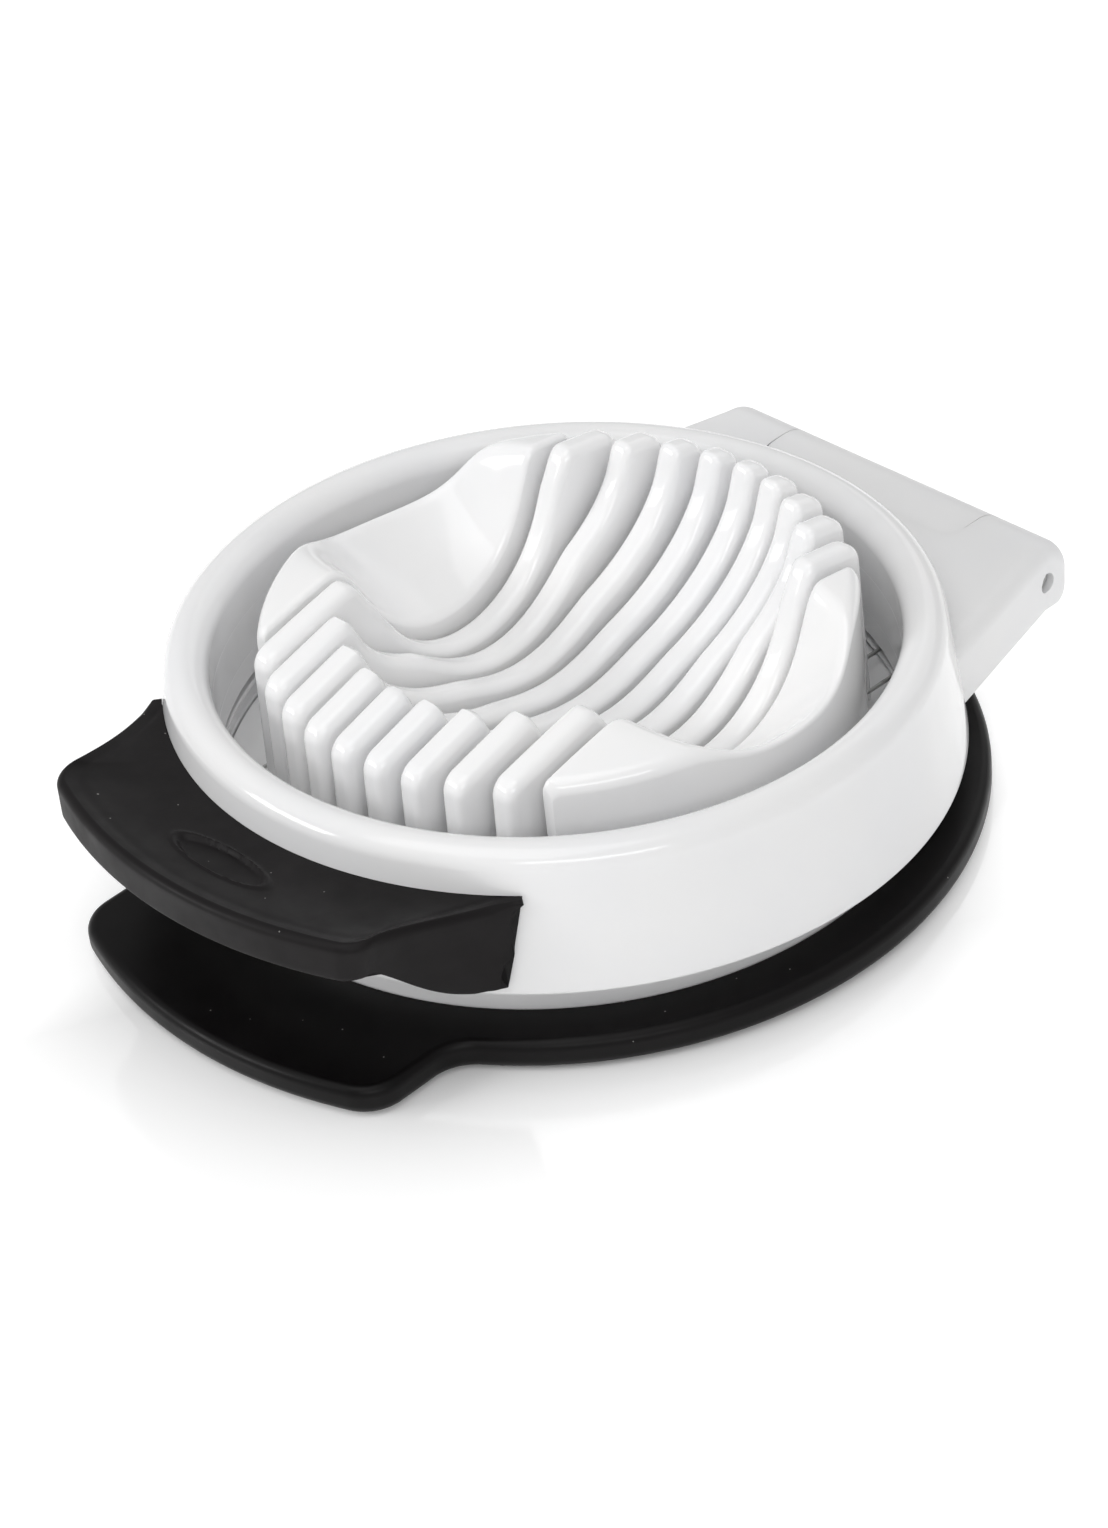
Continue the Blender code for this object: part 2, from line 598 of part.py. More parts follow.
def grip_outline(steps):
    """Outer edge of the grip, right half from the middle of the front to its end on the ring."""
    corner_x = GRIP_HALF_WIDTH - GRIP_CORNER
    corner_y = -sqrt((GRIP_REACH - GRIP_CORNER) ** 2 - corner_x ** 2)
    lean = asin(corner_x / (GRIP_REACH - GRIP_CORNER))
    front = arc((0.0, 0.0), GRIP_REACH, -pi / 2, -pi / 2 + lean, steps)
    turn_back = arc((corner_x, corner_y), GRIP_CORNER, -pi / 2 + lean, GRIP_SIDE_LEAN, steps)[1:]
    end_radius = wall_radius(GRIP_TOP_INNER) + GRIP_SKIN
    end = Vector((end_radius * sin(GRIP_END_ANGLE), -end_radius * cos(GRIP_END_ANGLE)))
    start = Vector(turn_back[-1])
    pull_a, pull_b = start + Vector(GRIP_SIDE_PULL), end + Vector(GRIP_END_PULL)
    side = []
    for k in range(1, steps + 1):
        t = k / steps
        side.append(tuple(start * (1 - t) ** 3 + pull_a * 3 * t * (1 - t) ** 2
                          + pull_b * 3 * t * t * (1 - t) + end * t ** 3))
    return front + turn_back + side


def grip_drop(y):
    """How far the section has changed from the front's (0) to the thin end's on the ring (1)."""
    start, end = -GRIP_REACH + 2 * GRIP_CORNER, -FRAME_OUTER_RADIUS * cos(GRIP_END_ANGLE)
    along = min(max((y - start) / (end - start), 0.0), 1.0)
    return sin(0.5 * pi * along) ** 1.2


def grip_section(x, y, share):
    """Section from the ring wall to the outer edge; share runs from 0 in front to 1 at the end."""
    angle, drop, slant = share * GRIP_END_ANGLE, grip_drop(y), GRIP_END_SLANT * share ** 3
    top_out = GRIP_TOP_OUTER + (GRIP_TOP_INNER - GRIP_TOP_OUTER) * drop
    low_out = top_out - GRIP_FRONT_HEIGHT + (GRIP_BOTTOM_INNER - top_out + GRIP_FRONT_HEIGHT) * drop
    points = []
    for z, turn in ((GRIP_BOTTOM_INNER, angle - slant), (GRIP_TOP_INNER, angle)):
        r = wall_radius(z) + FIT_GAP
        points.append(Vector((r * sin(turn), -r * cos(turn), z)))
    low_in, top_in = points
    outer = Vector((x, y, 0.0))
    middle = top_in.lerp(Vector((x, y, top_out)), 0.55)
    middle.z = GRIP_TOP_INNER + GRIP_DISH * (top_out - GRIP_TOP_INNER)
    across = Vector((top_in.x, top_in.y, 0.0)) - outer
    inward = across * min(GRIP_EDGE / across.length, 0.3)
    low = outer * (1 + drop * (wall_radius(low_out) - wall_radius(top_out)) / outer.length)
    low.rotate(Matrix.Rotation(-slant, 3, "Z"))
    return [low_in, top_in, middle, outer + inward + Vector((0, 0, top_out)),
            outer + Vector((0, 0, top_out - GRIP_EDGE)), low + Vector((0, 0, low_out + GRIP_EDGE)),
            low + inward + Vector((0, 0, low_out))]


def make_grip(pivot):
    half = grip_outline(7)
    last = len(half) - 1
    right = [grip_section(x, y, i / last) for i, (x, y) in enumerate(half)]
    left = [[Vector((-p.x, p.y, p.z)) for p in section] for section in right[:0:-1]]
    grip = add_object("grip", about_pin(loft(left + right)), BLACK_RUBBER, pivot)
    combine(grip, add_helper("grip_pocket", about_pin(tongue(FIT_GAP)), pivot), "DIFFERENCE")


# ---------------------------------------------------------------- assembly
def make_frame_pivot():
    """Empty on the hinge axis; the closed ring rests slightly raised at the front."""
    pivot = bpy.data.objects.new("frame_pivot", None)
    bpy.context.scene.collection.objects.link(pivot)
    pivot.location = (0.0, PIN_Y, PIN_Z)
    pivot.rotation_euler = (-CLOSED_TILT, 0.0, 0.0)
    return pivot


def main():
    clear_scene()
    make_base_pad()
    make_base_body()
    make_egg_cradle()
    make_cradle_screws()
    pivot = make_frame_pivot()
    make_wire_frame(pivot)
    make_wire_retainer(pivot)
    make_wires(pivot)
    make_hinge_pin(pivot)
    make_grip(pivot)
    bpy.context.view_layer.update()


main()
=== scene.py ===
"""Looks of the egg slicer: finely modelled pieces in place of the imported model's faceted ones.
Metres, +Z up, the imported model's own frame: hinge towards +Y, thumb grip towards -Y."""
import json
from math import asin, atan2, cos, exp, hypot, pi, radians, sin, sqrt
import bmesh
import bpy
from mathutils import Matrix, Vector, noise


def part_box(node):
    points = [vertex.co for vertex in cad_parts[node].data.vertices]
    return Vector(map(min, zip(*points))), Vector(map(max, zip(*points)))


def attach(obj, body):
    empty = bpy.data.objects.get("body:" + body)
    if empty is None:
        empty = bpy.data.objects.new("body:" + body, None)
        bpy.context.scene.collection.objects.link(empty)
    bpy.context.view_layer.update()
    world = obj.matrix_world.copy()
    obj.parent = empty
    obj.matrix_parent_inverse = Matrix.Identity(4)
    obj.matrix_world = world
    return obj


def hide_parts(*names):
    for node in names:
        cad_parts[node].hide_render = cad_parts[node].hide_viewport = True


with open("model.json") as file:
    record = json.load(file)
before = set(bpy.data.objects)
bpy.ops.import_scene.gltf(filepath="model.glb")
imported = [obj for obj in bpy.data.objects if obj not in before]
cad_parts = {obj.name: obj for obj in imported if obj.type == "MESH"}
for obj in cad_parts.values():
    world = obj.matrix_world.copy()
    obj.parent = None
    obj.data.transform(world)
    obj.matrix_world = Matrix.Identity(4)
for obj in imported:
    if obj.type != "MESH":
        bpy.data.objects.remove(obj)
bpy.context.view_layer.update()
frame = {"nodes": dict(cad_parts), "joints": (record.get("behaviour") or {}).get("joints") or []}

MM = 0.001

# ---------------------------------------------------------------- places read from the frame
PIN = Vector(frame["joints"][0]["pos_m"])
PAD_LOW, PAD_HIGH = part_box("base_pad")
BODY_LOW, BODY_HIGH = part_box("base_body")
CRADLE_LOW, CRADLE_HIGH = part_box("egg_cradle")
PIN_LOW, PIN_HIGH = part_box("hinge_pin")
WIRE_NODES = sorted(name for name in frame["nodes"] if name.startswith("wire_") and name[5:].isdigit())
SCREW_NODES = sorted(name for name in frame["nodes"] if name.startswith("cradle_screw"))


def middle_x(node):
    """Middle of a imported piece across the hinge."""
    low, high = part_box(node)
    return 0.5 * (low[0] + high[0])


RIB_PITCH = (middle_x(WIRE_NODES[-1]) - middle_x(WIRE_NODES[0])) / (len(WIRE_NODES) - 1)
BARREL_RADIUS = BODY_HIGH[1] - PIN.y
BARREL_TOP = PIN.z + BARREL_RADIUS

# ---------------------------------------------------------------- sizes
CLOSED_TILT = radians(1.9)
SEAM = 0.25 * MM
SIDE_SEAM = 0.12 * MM

PAD_RADIUS = PAD_HIGH[0]
PAD_TOP = PAD_HIGH[2]
PAD_ROUND = 1.4 * MM
PAD_LOW_ROUND = 1.7 * MM
TAB_REACH = -PAD_LOW[1]
TAB_HALF_WIDTH = 28.2 * MM
TAB_CORNER = 6.2 * MM
TAB_FILLET = 6.0 * MM

DRUM_RADIUS = BODY_HIGH[0]
DRUM_BOTTOM = BODY_LOW[2]
DRUM_TOP = DRUM_BOTTOM + 4.8 * MM
DRUM_FLOOR = DRUM_BOTTOM + 2.6 * MM
TRAY_RADIUS = 46.0 * MM
ARM_TOP = 6.55 * MM
ARM_FRONT = 40.0 * MM
ARM_BACK = 57.2 * MM
KNUCKLE_HALF_WIDTH = 17.7 * MM
KNUCKLE_FRONT_RADIUS = 7.8 * MM
KNUCKLE_CORNER = 2.2 * MM
PIN_BORE = 1.45 * MM
REST_PAD_SPREAD = 13.0 * MM
REST_PAD_TOP = 10.1 * MM
REST_PAD_RADIUS = 1.1 * MM
SCREW_SINK = 0.7 * MM
SCREW_CONE_END = 1.8 * MM
SCREW_HOLE_SHARE = 0.6

RING_BOTTOM = 6.6 * MM
RING_OUTER = 53.3 * MM
RING_WALL_SLOPE = 0.1377
RING_LIP_RADIUS = 48.0 * MM
RING_LIP_ROUND = 3.0 * MM
RING_TOP = 26.1 * MM
RING_INNER = 45.0 * MM
CHANNEL_INNER = 47.0 * MM
CHANNEL_OUTER = 49.8 * MM
CHANNEL_TOP = 22.5 * MM
INNER_WALL_BOTTOM = 8.7 * MM
INNER_GROOVES = (18.6 * MM, 12.4 * MM)
BLOCK_HALF_WIDTH = 29.8 * MM
BLOCK_TAPER = 0.25
BLOCK_BOTTOM = 6.9 * MM
BLOCK_FRONT = 35.0 * MM
BLOCK_EDGE = 2.6 * MM
BLOCK_LOW_EDGE = 0.8 * MM

GRIP_REACH = 67.8 * MM
GRIP_HALF_WIDTH = 28.4 * MM
GRIP_CORNER = 4.5 * MM
GRIP_SIDE_LEAN = radians(-8)
GRIP_SIDE_PULL = (0.6 * MM, 6.2 * MM)
GRIP_END_ANGLE = radians(40)
GRIP_END_PULL = (-2.2 * MM, -5.4 * MM)
GRIP_END_SLANT = radians(2.5)
GRIP_INNER_TOP = 20.5 * MM
GRIP_OUTER_TOP = 23.0 * MM
GRIP_FRONT_HEIGHT = 5.5 * MM
GRIP_INNER_BOTTOM = 8.4 * MM
GRIP_SKIN = 1.25 * MM
GRIP_GAP = 0.05 * MM
GRIP_TOP_ROUND = 1.1 * MM
GRIP_LOW_ROUND = 0.7 * MM
GRIP_BEAD = 0.12 * MM
GRIP_BEAD_PLACE = 1.6 * MM
GRIP_BEAD_WIDTH = 0.8 * MM
FLASH_TURN = radians(1.5)
RAGGED_DEPTH = 0.35 * MM
RAGGED_HEIGHT = 1.2 * MM
RAGGED_SCALE = 420.0
BADGE_HALF_LENGTH = 8.0 * MM
BADGE_HALF_WIDTH = 2.5 * MM
BADGE_Y = -58.4 * MM
BADGE_DEPTH = 0.45 * MM
BADGE_STEP = 0.35 * MM
BADGE_RIM_HEIGHT = 0.24 * MM
BADGE_RIM_WIDTH = 0.20 * MM
BADGE_RIM_PLACE = 0.12 * MM

WIRE_RADIUS = 0.3 * MM
WIRE_Z = 8.1 * MM
WIRE_REACH = 48.4 * MM
WIRE_HOOK = 3.6 * MM
WIRE_BEND = 0.9 * MM

CRADLE_FLOOR_RADIUS = CRADLE_HIGH[0]
CRADLE_FLOOR_BOTTOM = CRADLE_LOW[2]
CRADLE_FLOOR_TOP = CRADLE_FLOOR_BOTTOM + 1.9 * MM
CRADLE_FOOT = CRADLE_FLOOR_TOP - 0.5 * MM
CRADLE_RADIUS = 39.2 * MM
CRADLE_Y = 1.4 * MM
CRADLE_DRAFT = 0.7 * MM
RIB_WIDTH = 4.0 * MM
RIB_ROUND = 1.45 * MM
SHOULDER_Z = 30.9 * MM
SHOULDER_ROUND = 2.2 * MM
CROWN_SLOPE = 0.265
CROWN_TILT = 0.024
BOWL_Y = 4.2 * MM
BOWL_BOTTOM = 14.0 * MM
BOWL_RIM = 34.5 * MM
BOWL_HALF_LENGTH = 32.2 * MM
BOWL_FRONT_LENGTH = 30.3 * MM
BOWL_HALF_WIDTH = 27.8 * MM
HOLLOW_ROUND_END = 0.985
HOLLOW_ROUND_HEIGHT = 0.8274
HOLLOW_RIM_SLOPE = 0.115
SCOOP_HALF_WIDTH = 17.2 * MM
SCOOP_START = 20.0 * MM
SCOOP_RISE = 13.0 * MM
SCOOP_SHIFT = 0.8 * MM
SCOOP_NARROWING = 0.18
RIM_BLEND = 3.4 * MM
END_PIECE_TIP = 1.6 * MM
END_PIECE_EDGE = 1.0 * MM
END_PIECE_WALL_ROUND = 1.7 * MM
END_PIECE_SMOOTHING = 34

CAMERA_PLACE = Vector((0.3554, -0.3112, 0.3588))
CAMERA_AIM = Vector((0.00578, -0.00722, 0.0120))
CAMERA_ROLL = radians(-6.65)
CAMERA_LENS = 105.08

TURN_STEPS = 256

FLOOR_HALF_SIZE = 4.0
FLOOR_Z = -0.0001
WORLD_LIGHT = 0.48
# Name, place, size in metres and watts of each soft light.
SOFTBOXES = (("overhead", (0.05, -0.30, 0.98), (0.8, 0.8), 2.9),
             ("front_left", (-0.55, -0.80, 0.45), (0.5, 0.22), 3.0),
             ("front_right", (0.75, -0.55, 0.60), (0.7, 0.20), 1.8),
             ("rear", (-0.20, 0.90, 0.60), (0.9, 0.5), 0.9))
# The floor's own light rises from 0 to FLOOR_GLOW between these distances from the object's middle.
FLOOR_GLOW = 0.30
GLOW_START = 0.053
GLOW_END = 0.092
GLOW_SHIFT = (0.012, 0.006, 0.0)
GLOW_STRETCH = (1.0, 1.08, 1.0)
# Start, end and top of the floor's extra light towards the back (along Y) and the left (along X).
BACK_GLOW = (-0.005, 0.050, 0.50)
LEFT_GLOW = (-0.009, -0.022, 0.30)


# ---------------------------------------------------------------- materials
class Nodes:
    """Small helper that builds a material's node tree."""

    def __init__(self, name):
        self.material = bpy.data.materials.new(name)
        self.material.use_nodes = True
        self.tree = self.material.node_tree
        self.shader = self.tree.nodes["Principled BSDF"]
        self.place = self.add("ShaderNodeTexCoord").outputs["Object"]

    def add(self, kind, **values):
        node = self.tree.nodes.new(kind)
        for key, value in values.items():
            setattr(node, key, value)
        return node

    def link(self, source, target):
        self.tree.links.new(source, target)

    def fix(self, **values):
        for key, value in values.items():
            self.shader.inputs[key.replace("_", " ")].default_value = value

    def noise(self, scale, detail=3.0, roughness=0.5, stretch=None):
        texture = self.add("ShaderNodeTexNoise")
        texture.inputs["Scale"].default_value = scale
        texture.inputs["Detail"].default_value = detail
        texture.inputs["Roughness"].default_value = roughness
        source = self.place
        if stretch:
            mapping = self.add("ShaderNodeMapping")
            mapping.inputs["Scale"].default_value = stretch
            self.link(self.place, mapping.inputs["Vector"])
            source = mapping.outputs["Vector"]
        self.link(source, texture.inputs["Vector"])
        return texture.outputs["Fac"]

    def spread(self, source, low, high):
        """Map a noise value, mostly 0.3 to 0.7, onto a range."""
        node = self.add("ShaderNodeMapRange")
        node.inputs["From Min"].default_value = 0.3
        node.inputs["From Max"].default_value = 0.7
        node.inputs["To Min"].default_value = low
        node.inputs["To Max"].default_value = high
        self.link(source, node.inputs["Value"])
        return node.outputs["Result"]

    def ramp(self, source, start, end, top, shape="LINEAR"):
        """Rise from 0 at the start value to the top at the end value."""
        node = self.add("ShaderNodeMapRange", interpolation_type=shape)
        node.inputs["From Min"].default_value = start
        node.inputs["From Max"].default_value = end
        node.inputs["To Max"].default_value = top
        self.link(source, node.inputs["Value"])
        return node.outputs["Result"]

    def blend(self, factor, first, second):
        node = self.add("ShaderNodeMix", data_type="RGBA")
        self.link(factor, node.inputs["Factor"])
        node.inputs["A"].default_value = first
        node.inputs["B"].default_value = second
        return node

    def math(self, operation, first, second):
        node = self.add("ShaderNodeMath", operation=operation)
        for slot, value in zip(node.inputs, (first, second)):
            if isinstance(value, (int, float)):
                slot.default_value = value
            else:
                self.link(value, slot)
        return node.outputs["Value"]

    def bump(self, height, strength, distance, under=None):
        node = self.add("ShaderNodeBump")
        node.inputs["Strength"].default_value = strength
        node.inputs["Distance"].default_value = distance
        self.link(height, node.inputs["Height"])
        if under:
            self.link(under, node.inputs["Normal"])
        return node.outputs["Normal"]

    def specks(self, scale, size, share):
        """Rare small dots: 1 on a dot and 0 elsewhere."""
        cells = self.add("ShaderNodeTexVoronoi")
        cells.inputs["Scale"].default_value = scale
        self.link(self.place, cells.inputs["Vector"])
        split = self.add("ShaderNodeSeparateColor")
        self.link(cells.outputs["Color"], split.inputs["Color"])
        near = self.math("LESS_THAN", cells.outputs["Distance"], size)
        chosen = self.math("GREATER_THAN", split.outputs["Red"], 1.0 - share)
        return self.math("MULTIPLY", near, chosen)


def white_plastic(name, shade, roughness, grain, scatter=0.12, depth=0.004):
    """Moulded ABS: slight tone changes, faint flow marks, fine surface grain."""
    n = Nodes(name)
    warm = (shade, shade * 0.997, shade * 0.994, 1.0)
    cool = (shade * 0.970, shade * 0.972, shade * 0.982, 1.0)
    tone = n.blend(n.spread(n.noise(45.0), 0.0, 1.0), warm, cool)
    n.link(tone.outputs["Result"], n.shader.inputs["Base Color"])
    n.link(n.spread(n.noise(160.0, 4.0), roughness * 0.85, roughness * 1.2), n.shader.inputs["Roughness"])
    waves = n.bump(n.noise(140.0, 1.0), strength=0.05, distance=0.4 * MM)
    fine = n.bump(n.noise(2600.0, 2.0), strength=grain, distance=0.05 * MM, under=waves)
    n.link(fine, n.shader.inputs["Normal"])
    n.fix(Subsurface_Weight=scatter, Subsurface_Scale=depth, IOR=1.5)
    n.shader.inputs["Subsurface Radius"].default_value = (1.0, 0.97, 0.94)
    return n.material


def black_rubber(name, shade, shine, roughness):
    """Soft-touch rubber: matte, slightly brown-black, with specks of dust."""
    n = Nodes(name)
    dark, light = (0.0046, 0.0036, 0.0040), (0.0082, 0.0066, 0.0072)
    dark, light = (tuple(shade * c for c in tone) + (1.0,) for tone in (dark, light))
    tone = n.blend(n.spread(n.noise(60.0, 5.0), 0.0, 1.0), dark, light)
    dust = n.math("MAXIMUM", n.specks(scale=330.0, size=0.05, share=0.10),
                  n.specks(scale=760.0, size=0.08, share=0.09))
    dusty = n.blend(dust, (0.0, 0.0, 0.0, 1.0), (0.20, 0.195, 0.19, 1.0))
    n.link(tone.outputs["Result"], dusty.inputs["A"])
    n.link(dusty.outputs["Result"], n.shader.inputs["Base Color"])
    n.link(n.spread(n.noise(210.0, 5.0), roughness * 0.88, roughness * 1.14), n.shader.inputs["Roughness"])
    soft = n.bump(n.noise(420.0, 3.0), strength=0.10, distance=0.1 * MM)
    fine = n.bump(n.noise(5200.0, 2.0), strength=0.22, distance=0.04 * MM, under=soft)
    n.link(fine, n.shader.inputs["Normal"])
    n.fix(Specular_IOR_Level=shine)
    return n.material


def drawn_steel():
    """Stainless wire with fine marks along its length."""
    n = Nodes("drawn_steel")
    tone = n.blend(n.spread(n.noise(900.0, 3.0, stretch=(6.0, 0.3, 6.0)), 0.0, 1.0),
                   (0.50, 0.50, 0.49, 1.0), (0.68, 0.68, 0.67, 1.0))
    n.link(tone.outputs["Result"], n.shader.inputs["Base Color"])
    n.link(n.spread(n.noise(1500.0, 4.0, stretch=(5.0, 0.4, 5.0)), 0.20, 0.38), n.shader.inputs["Roughness"])
    marks = n.bump(n.noise(3000.0, 2.0, stretch=(4.0, 0.2, 4.0)), strength=0.12, distance=0.04 * MM)
    n.link(marks, n.shader.inputs["Normal"])
    n.fix(Metallic=1.0)
    return n.material


def table_surface():
    """Glossy white sheet with painted light: it glows, least near the object and more away from it, so that
    it ends in plain white.
    """
    n = Nodes("pale_table_painted_glow")
    tone = n.blend(n.spread(n.noise(4.0), 0.0, 1.0), (0.93, 0.93, 0.93, 1.0), (0.95, 0.95, 0.95, 1.0))
    n.link(tone.outputs["Result"], n.shader.inputs["Base Color"])
    n.link(n.spread(n.noise(30.0), 0.08, 0.11), n.shader.inputs["Roughness"])
    around = n.add("ShaderNodeMapping")
    around.inputs["Location"].default_value = GLOW_SHIFT
    around.inputs["Scale"].default_value = GLOW_STRETCH
    n.link(n.place, around.inputs["Vector"])
    distance = n.add("ShaderNodeVectorMath", operation="LENGTH")
    n.link(around.outputs["Vector"], distance.inputs[0])
    axes = n.add("ShaderNodeSeparateXYZ")
    n.link(n.place, axes.inputs["Vector"])
    around_glow = n.ramp(distance.outputs["Value"], GLOW_START, GLOW_END, FLOOR_GLOW, "SMOOTHSTEP")
    back_glow = n.ramp(axes.outputs["Y"], *BACK_GLOW)
    left_glow = n.ramp(axes.outputs["X"], *LEFT_GLOW)
    glow = n.math("MAXIMUM", around_glow, n.math("MAXIMUM", back_glow, left_glow))
    # Painted light: the floor glows as if lit, barely near the object so its shadow stays, fully where
    # shadows should fade to white.
    n.link(glow, n.shader.inputs["Emission Strength"])
    n.fix(Emission_Color=(1.0, 1.0, 1.0, 1.0), IOR=2.0)
    return n.material


GLOSS_WHITE = white_plastic("gloss_white_plastic", shade=0.90, roughness=0.09, grain=0.03)
# Painted light: the cradle's white is the ring's plastic made brighter, to lighten its shaded bowl and
# slots.
LIT_CRADLE_WHITE = white_plastic("cradle_white_plastic_painted_light", shade=0.965, roughness=0.09, grain=0.02,
                             scatter=0.15, depth=0.002)
SATIN_WHITE = white_plastic("satin_white_plastic", shade=0.84, roughness=0.42, grain=0.22)
# Painted shade: the pad and the grip are one rubber, and the pad's copy is made much darker than the grip's
# as a shaded copy.
SHADED_PAD_RUBBER = black_rubber("pad_black_rubber_painted_shade", shade=0.4, shine=0.17, roughness=0.38)
GRIP_RUBBER = black_rubber("grip_black_rubber", shade=0.9, shine=0.19, roughness=0.48)
STEEL = drawn_steel()


# ---------------------------------------------------------------- mesh helpers
def make_object(name, bm, *materials):
    """Object with the shape's mesh and these materials."""
    bmesh.ops.recalc_face_normals(bm, faces=bm.faces)
    mesh = bpy.data.meshes.new(name)
    bm.to_mesh(mesh)
    bm.free()
    for material in materials:
        mesh.materials.append(material)
    thing = bpy.data.objects.new(name, mesh)
    bpy.context.scene.collection.objects.link(thing)
    return thing


def combined(base, steps, *materials):
    """The base object after exact Booleans with helpers, as a mesh of its own; helpers go away."""
    helpers = []
    for operation, bm in steps:
        helper = make_object("helper", bm, materials[0])
        helpers.append(helper)
        step = base.modifiers.new("step", "BOOLEAN")
        step.operation = operation
        step.solver = "EXACT"
        step.object = helper
    mesh = bpy.data.meshes.new_from_object(base.evaluated_get(bpy.context.evaluated_depsgraph_get()))
    base.modifiers.clear()
    base.data = mesh
    mesh.materials.clear()
    for material in materials:
        mesh.materials.append(material)
    for helper in helpers:
        bpy.data.objects.remove(helper)
    return base


def finish_piece(thing, body, nodes, sharp=33.0):
    """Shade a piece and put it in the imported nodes' place."""
    mesh = thing.data
    mesh.shade_smooth()
    mesh.set_sharp_from_angle(angle=radians(sharp))
    weighted = thing.modifiers.new("even_normals", "WEIGHTED_NORMAL")
    weighted.keep_sharp = True
    weighted.weight = 80
    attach(thing, body)
    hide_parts(*nodes)
    return thing


def tilt(thing):
    """Turn a piece modelled with the ring lying flat to its closed, slightly raised place."""
    turn_about_pin = (Matrix.Translation(PIN) @ Matrix.Rotation(-CLOSED_TILT, 4, "X")
                      @ Matrix.Translation(-PIN))
    thing.data.transform(turn_about_pin)
    return thing


def loft(loops, closed=False):
    """Quads between equal-length loops; open lofts get flat caps."""
    bm = bmesh.new()
    rings = [[bm.verts.new(p) for p in loop] for loop in loops]
    count = len(rings[0])
    pairs = list(zip(rings, rings[1:])) + ([(rings[-1], rings[0])] if closed else [])
    for low, high in pairs:
        for i in range(count):
            j = (i + 1) % count
            bm.faces.new((low[i], low[j], high[j], high[i]))
    if not closed:
        bm.faces.new(rings[0])
        bm.faces.new(rings[-1])
    return bm


def quarter(steps):
    """Angles from 0 to 90 degrees in even steps."""
    return [0.5 * pi * k / steps for k in range(steps + 1)]


def circle(radius, z, steps=TURN_STEPS, centre=(0.0, 0.0)):
    angles = (2 * pi * k / steps for k in range(steps))
    return [(centre[0] + radius * cos(a), centre[1] + radius * sin(a), z) for a in angles]


def disc(levels, steps=TURN_STEPS, centre=(0.0, 0.0)):
    """Round solid from (radius, z) pairs."""
    return loft([circle(r, z, steps, centre) for r, z in levels])


def turned_ring(profile, steps=TURN_STEPS):
    """Ring from a closed profile of (radius, z) pairs."""
    loops = []
    for k in range(steps):
        a = 2 * pi * k / steps
        loops.append([(r * cos(a), r * sin(a), z) for r, z in profile])
    return loft(loops, closed=True)


def rod_along_x(stations, y, z, steps):
    """Round bar along X from (x, radius) pairs."""
    angles = [2 * pi * k / steps for k in range(steps)]
    return loft([[(x, y + r * cos(a), z + r * sin(a)) for a in angles] for x, r in stations])


def bore_at_pin(half_length):
    """Cutter for the pin's bore."""
    return rod_along_x([(-half_length, PIN_BORE), (half_length, PIN_BORE)], PIN.y, PIN.z, 40)


def arc(centre, radius, start, end, steps):
    """Points of an arc from one angle to another, both ends included."""
    return [(centre[0] + radius * cos(start + (end - start) * k / steps),
             centre[1] + radius * sin(start + (end - start) * k / steps)) for k in range(steps + 1)]


def inset(outline, distance):
    """Move each point of a counter-clockwise outline inwards along its normal."""
    moved = []
    for i, point in enumerate(outline):
        before, after = outline[i - 1], outline[(i + 1) % len(outline)]
        tangent = Vector((after[0] - before[0], after[1] - before[1])).normalized()
        moved.append((point[0] - tangent.y * distance, point[1] + tangent.x * distance))
    return moved


def edge_levels(bottom, top, low_round, high_round, steps=7):
    """(inset, z) pairs of a wall with rounded lower and upper edges."""
    levels = [(low_round * (1 - sin(a)), bottom + low_round * (1 - cos(a))) for a in quarter(steps)]
    levels += [(high_round * (1 - cos(a)), top - high_round * (1 - sin(a))) for a in quarter(steps)]
    return levels


def stack(outline, levels):
    """Upright solid with an outline's shape and (inset, z) levels."""
    return loft([[(x, y, z) for x, y in inset(outline, d)] for d, z in levels])


# ---------------------------------------------------------------- base pad
def tab_outline():
    """Round plate with a front tab, as a fine counter-clockwise outline."""
    fillet_x = TAB_HALF_WIDTH + TAB_FILLET
    fillet_y = -sqrt((PAD_RADIUS + TAB_FILLET) ** 2 - fillet_x ** 2)
    touch = asin(fillet_x / (PAD_RADIUS + TAB_FILLET))
    corner_x = TAB_HALF_WIDTH - TAB_CORNER
    corner_y = -sqrt((TAB_REACH - TAB_CORNER) ** 2 - corner_x ** 2)
    lean = asin(corner_x / (TAB_REACH - TAB_CORNER))
    half = arc((0.0, 0.0), TAB_REACH, -pi / 2, -pi / 2 + lean, 24)
    half += arc((corner_x, corner_y), TAB_CORNER, -pi / 2 + lean, 0.0, 20)[1:]
    half += arc((fillet_x, fillet_y), TAB_FILLET, pi, pi / 2 + touch, 14)
    half += arc((0.0, 0.0), PAD_RADIUS, -pi / 2 + touch, pi / 2, 110)[1:]
    return half + [(-x, y) for x, y in reversed(half) if x > 1e-6]


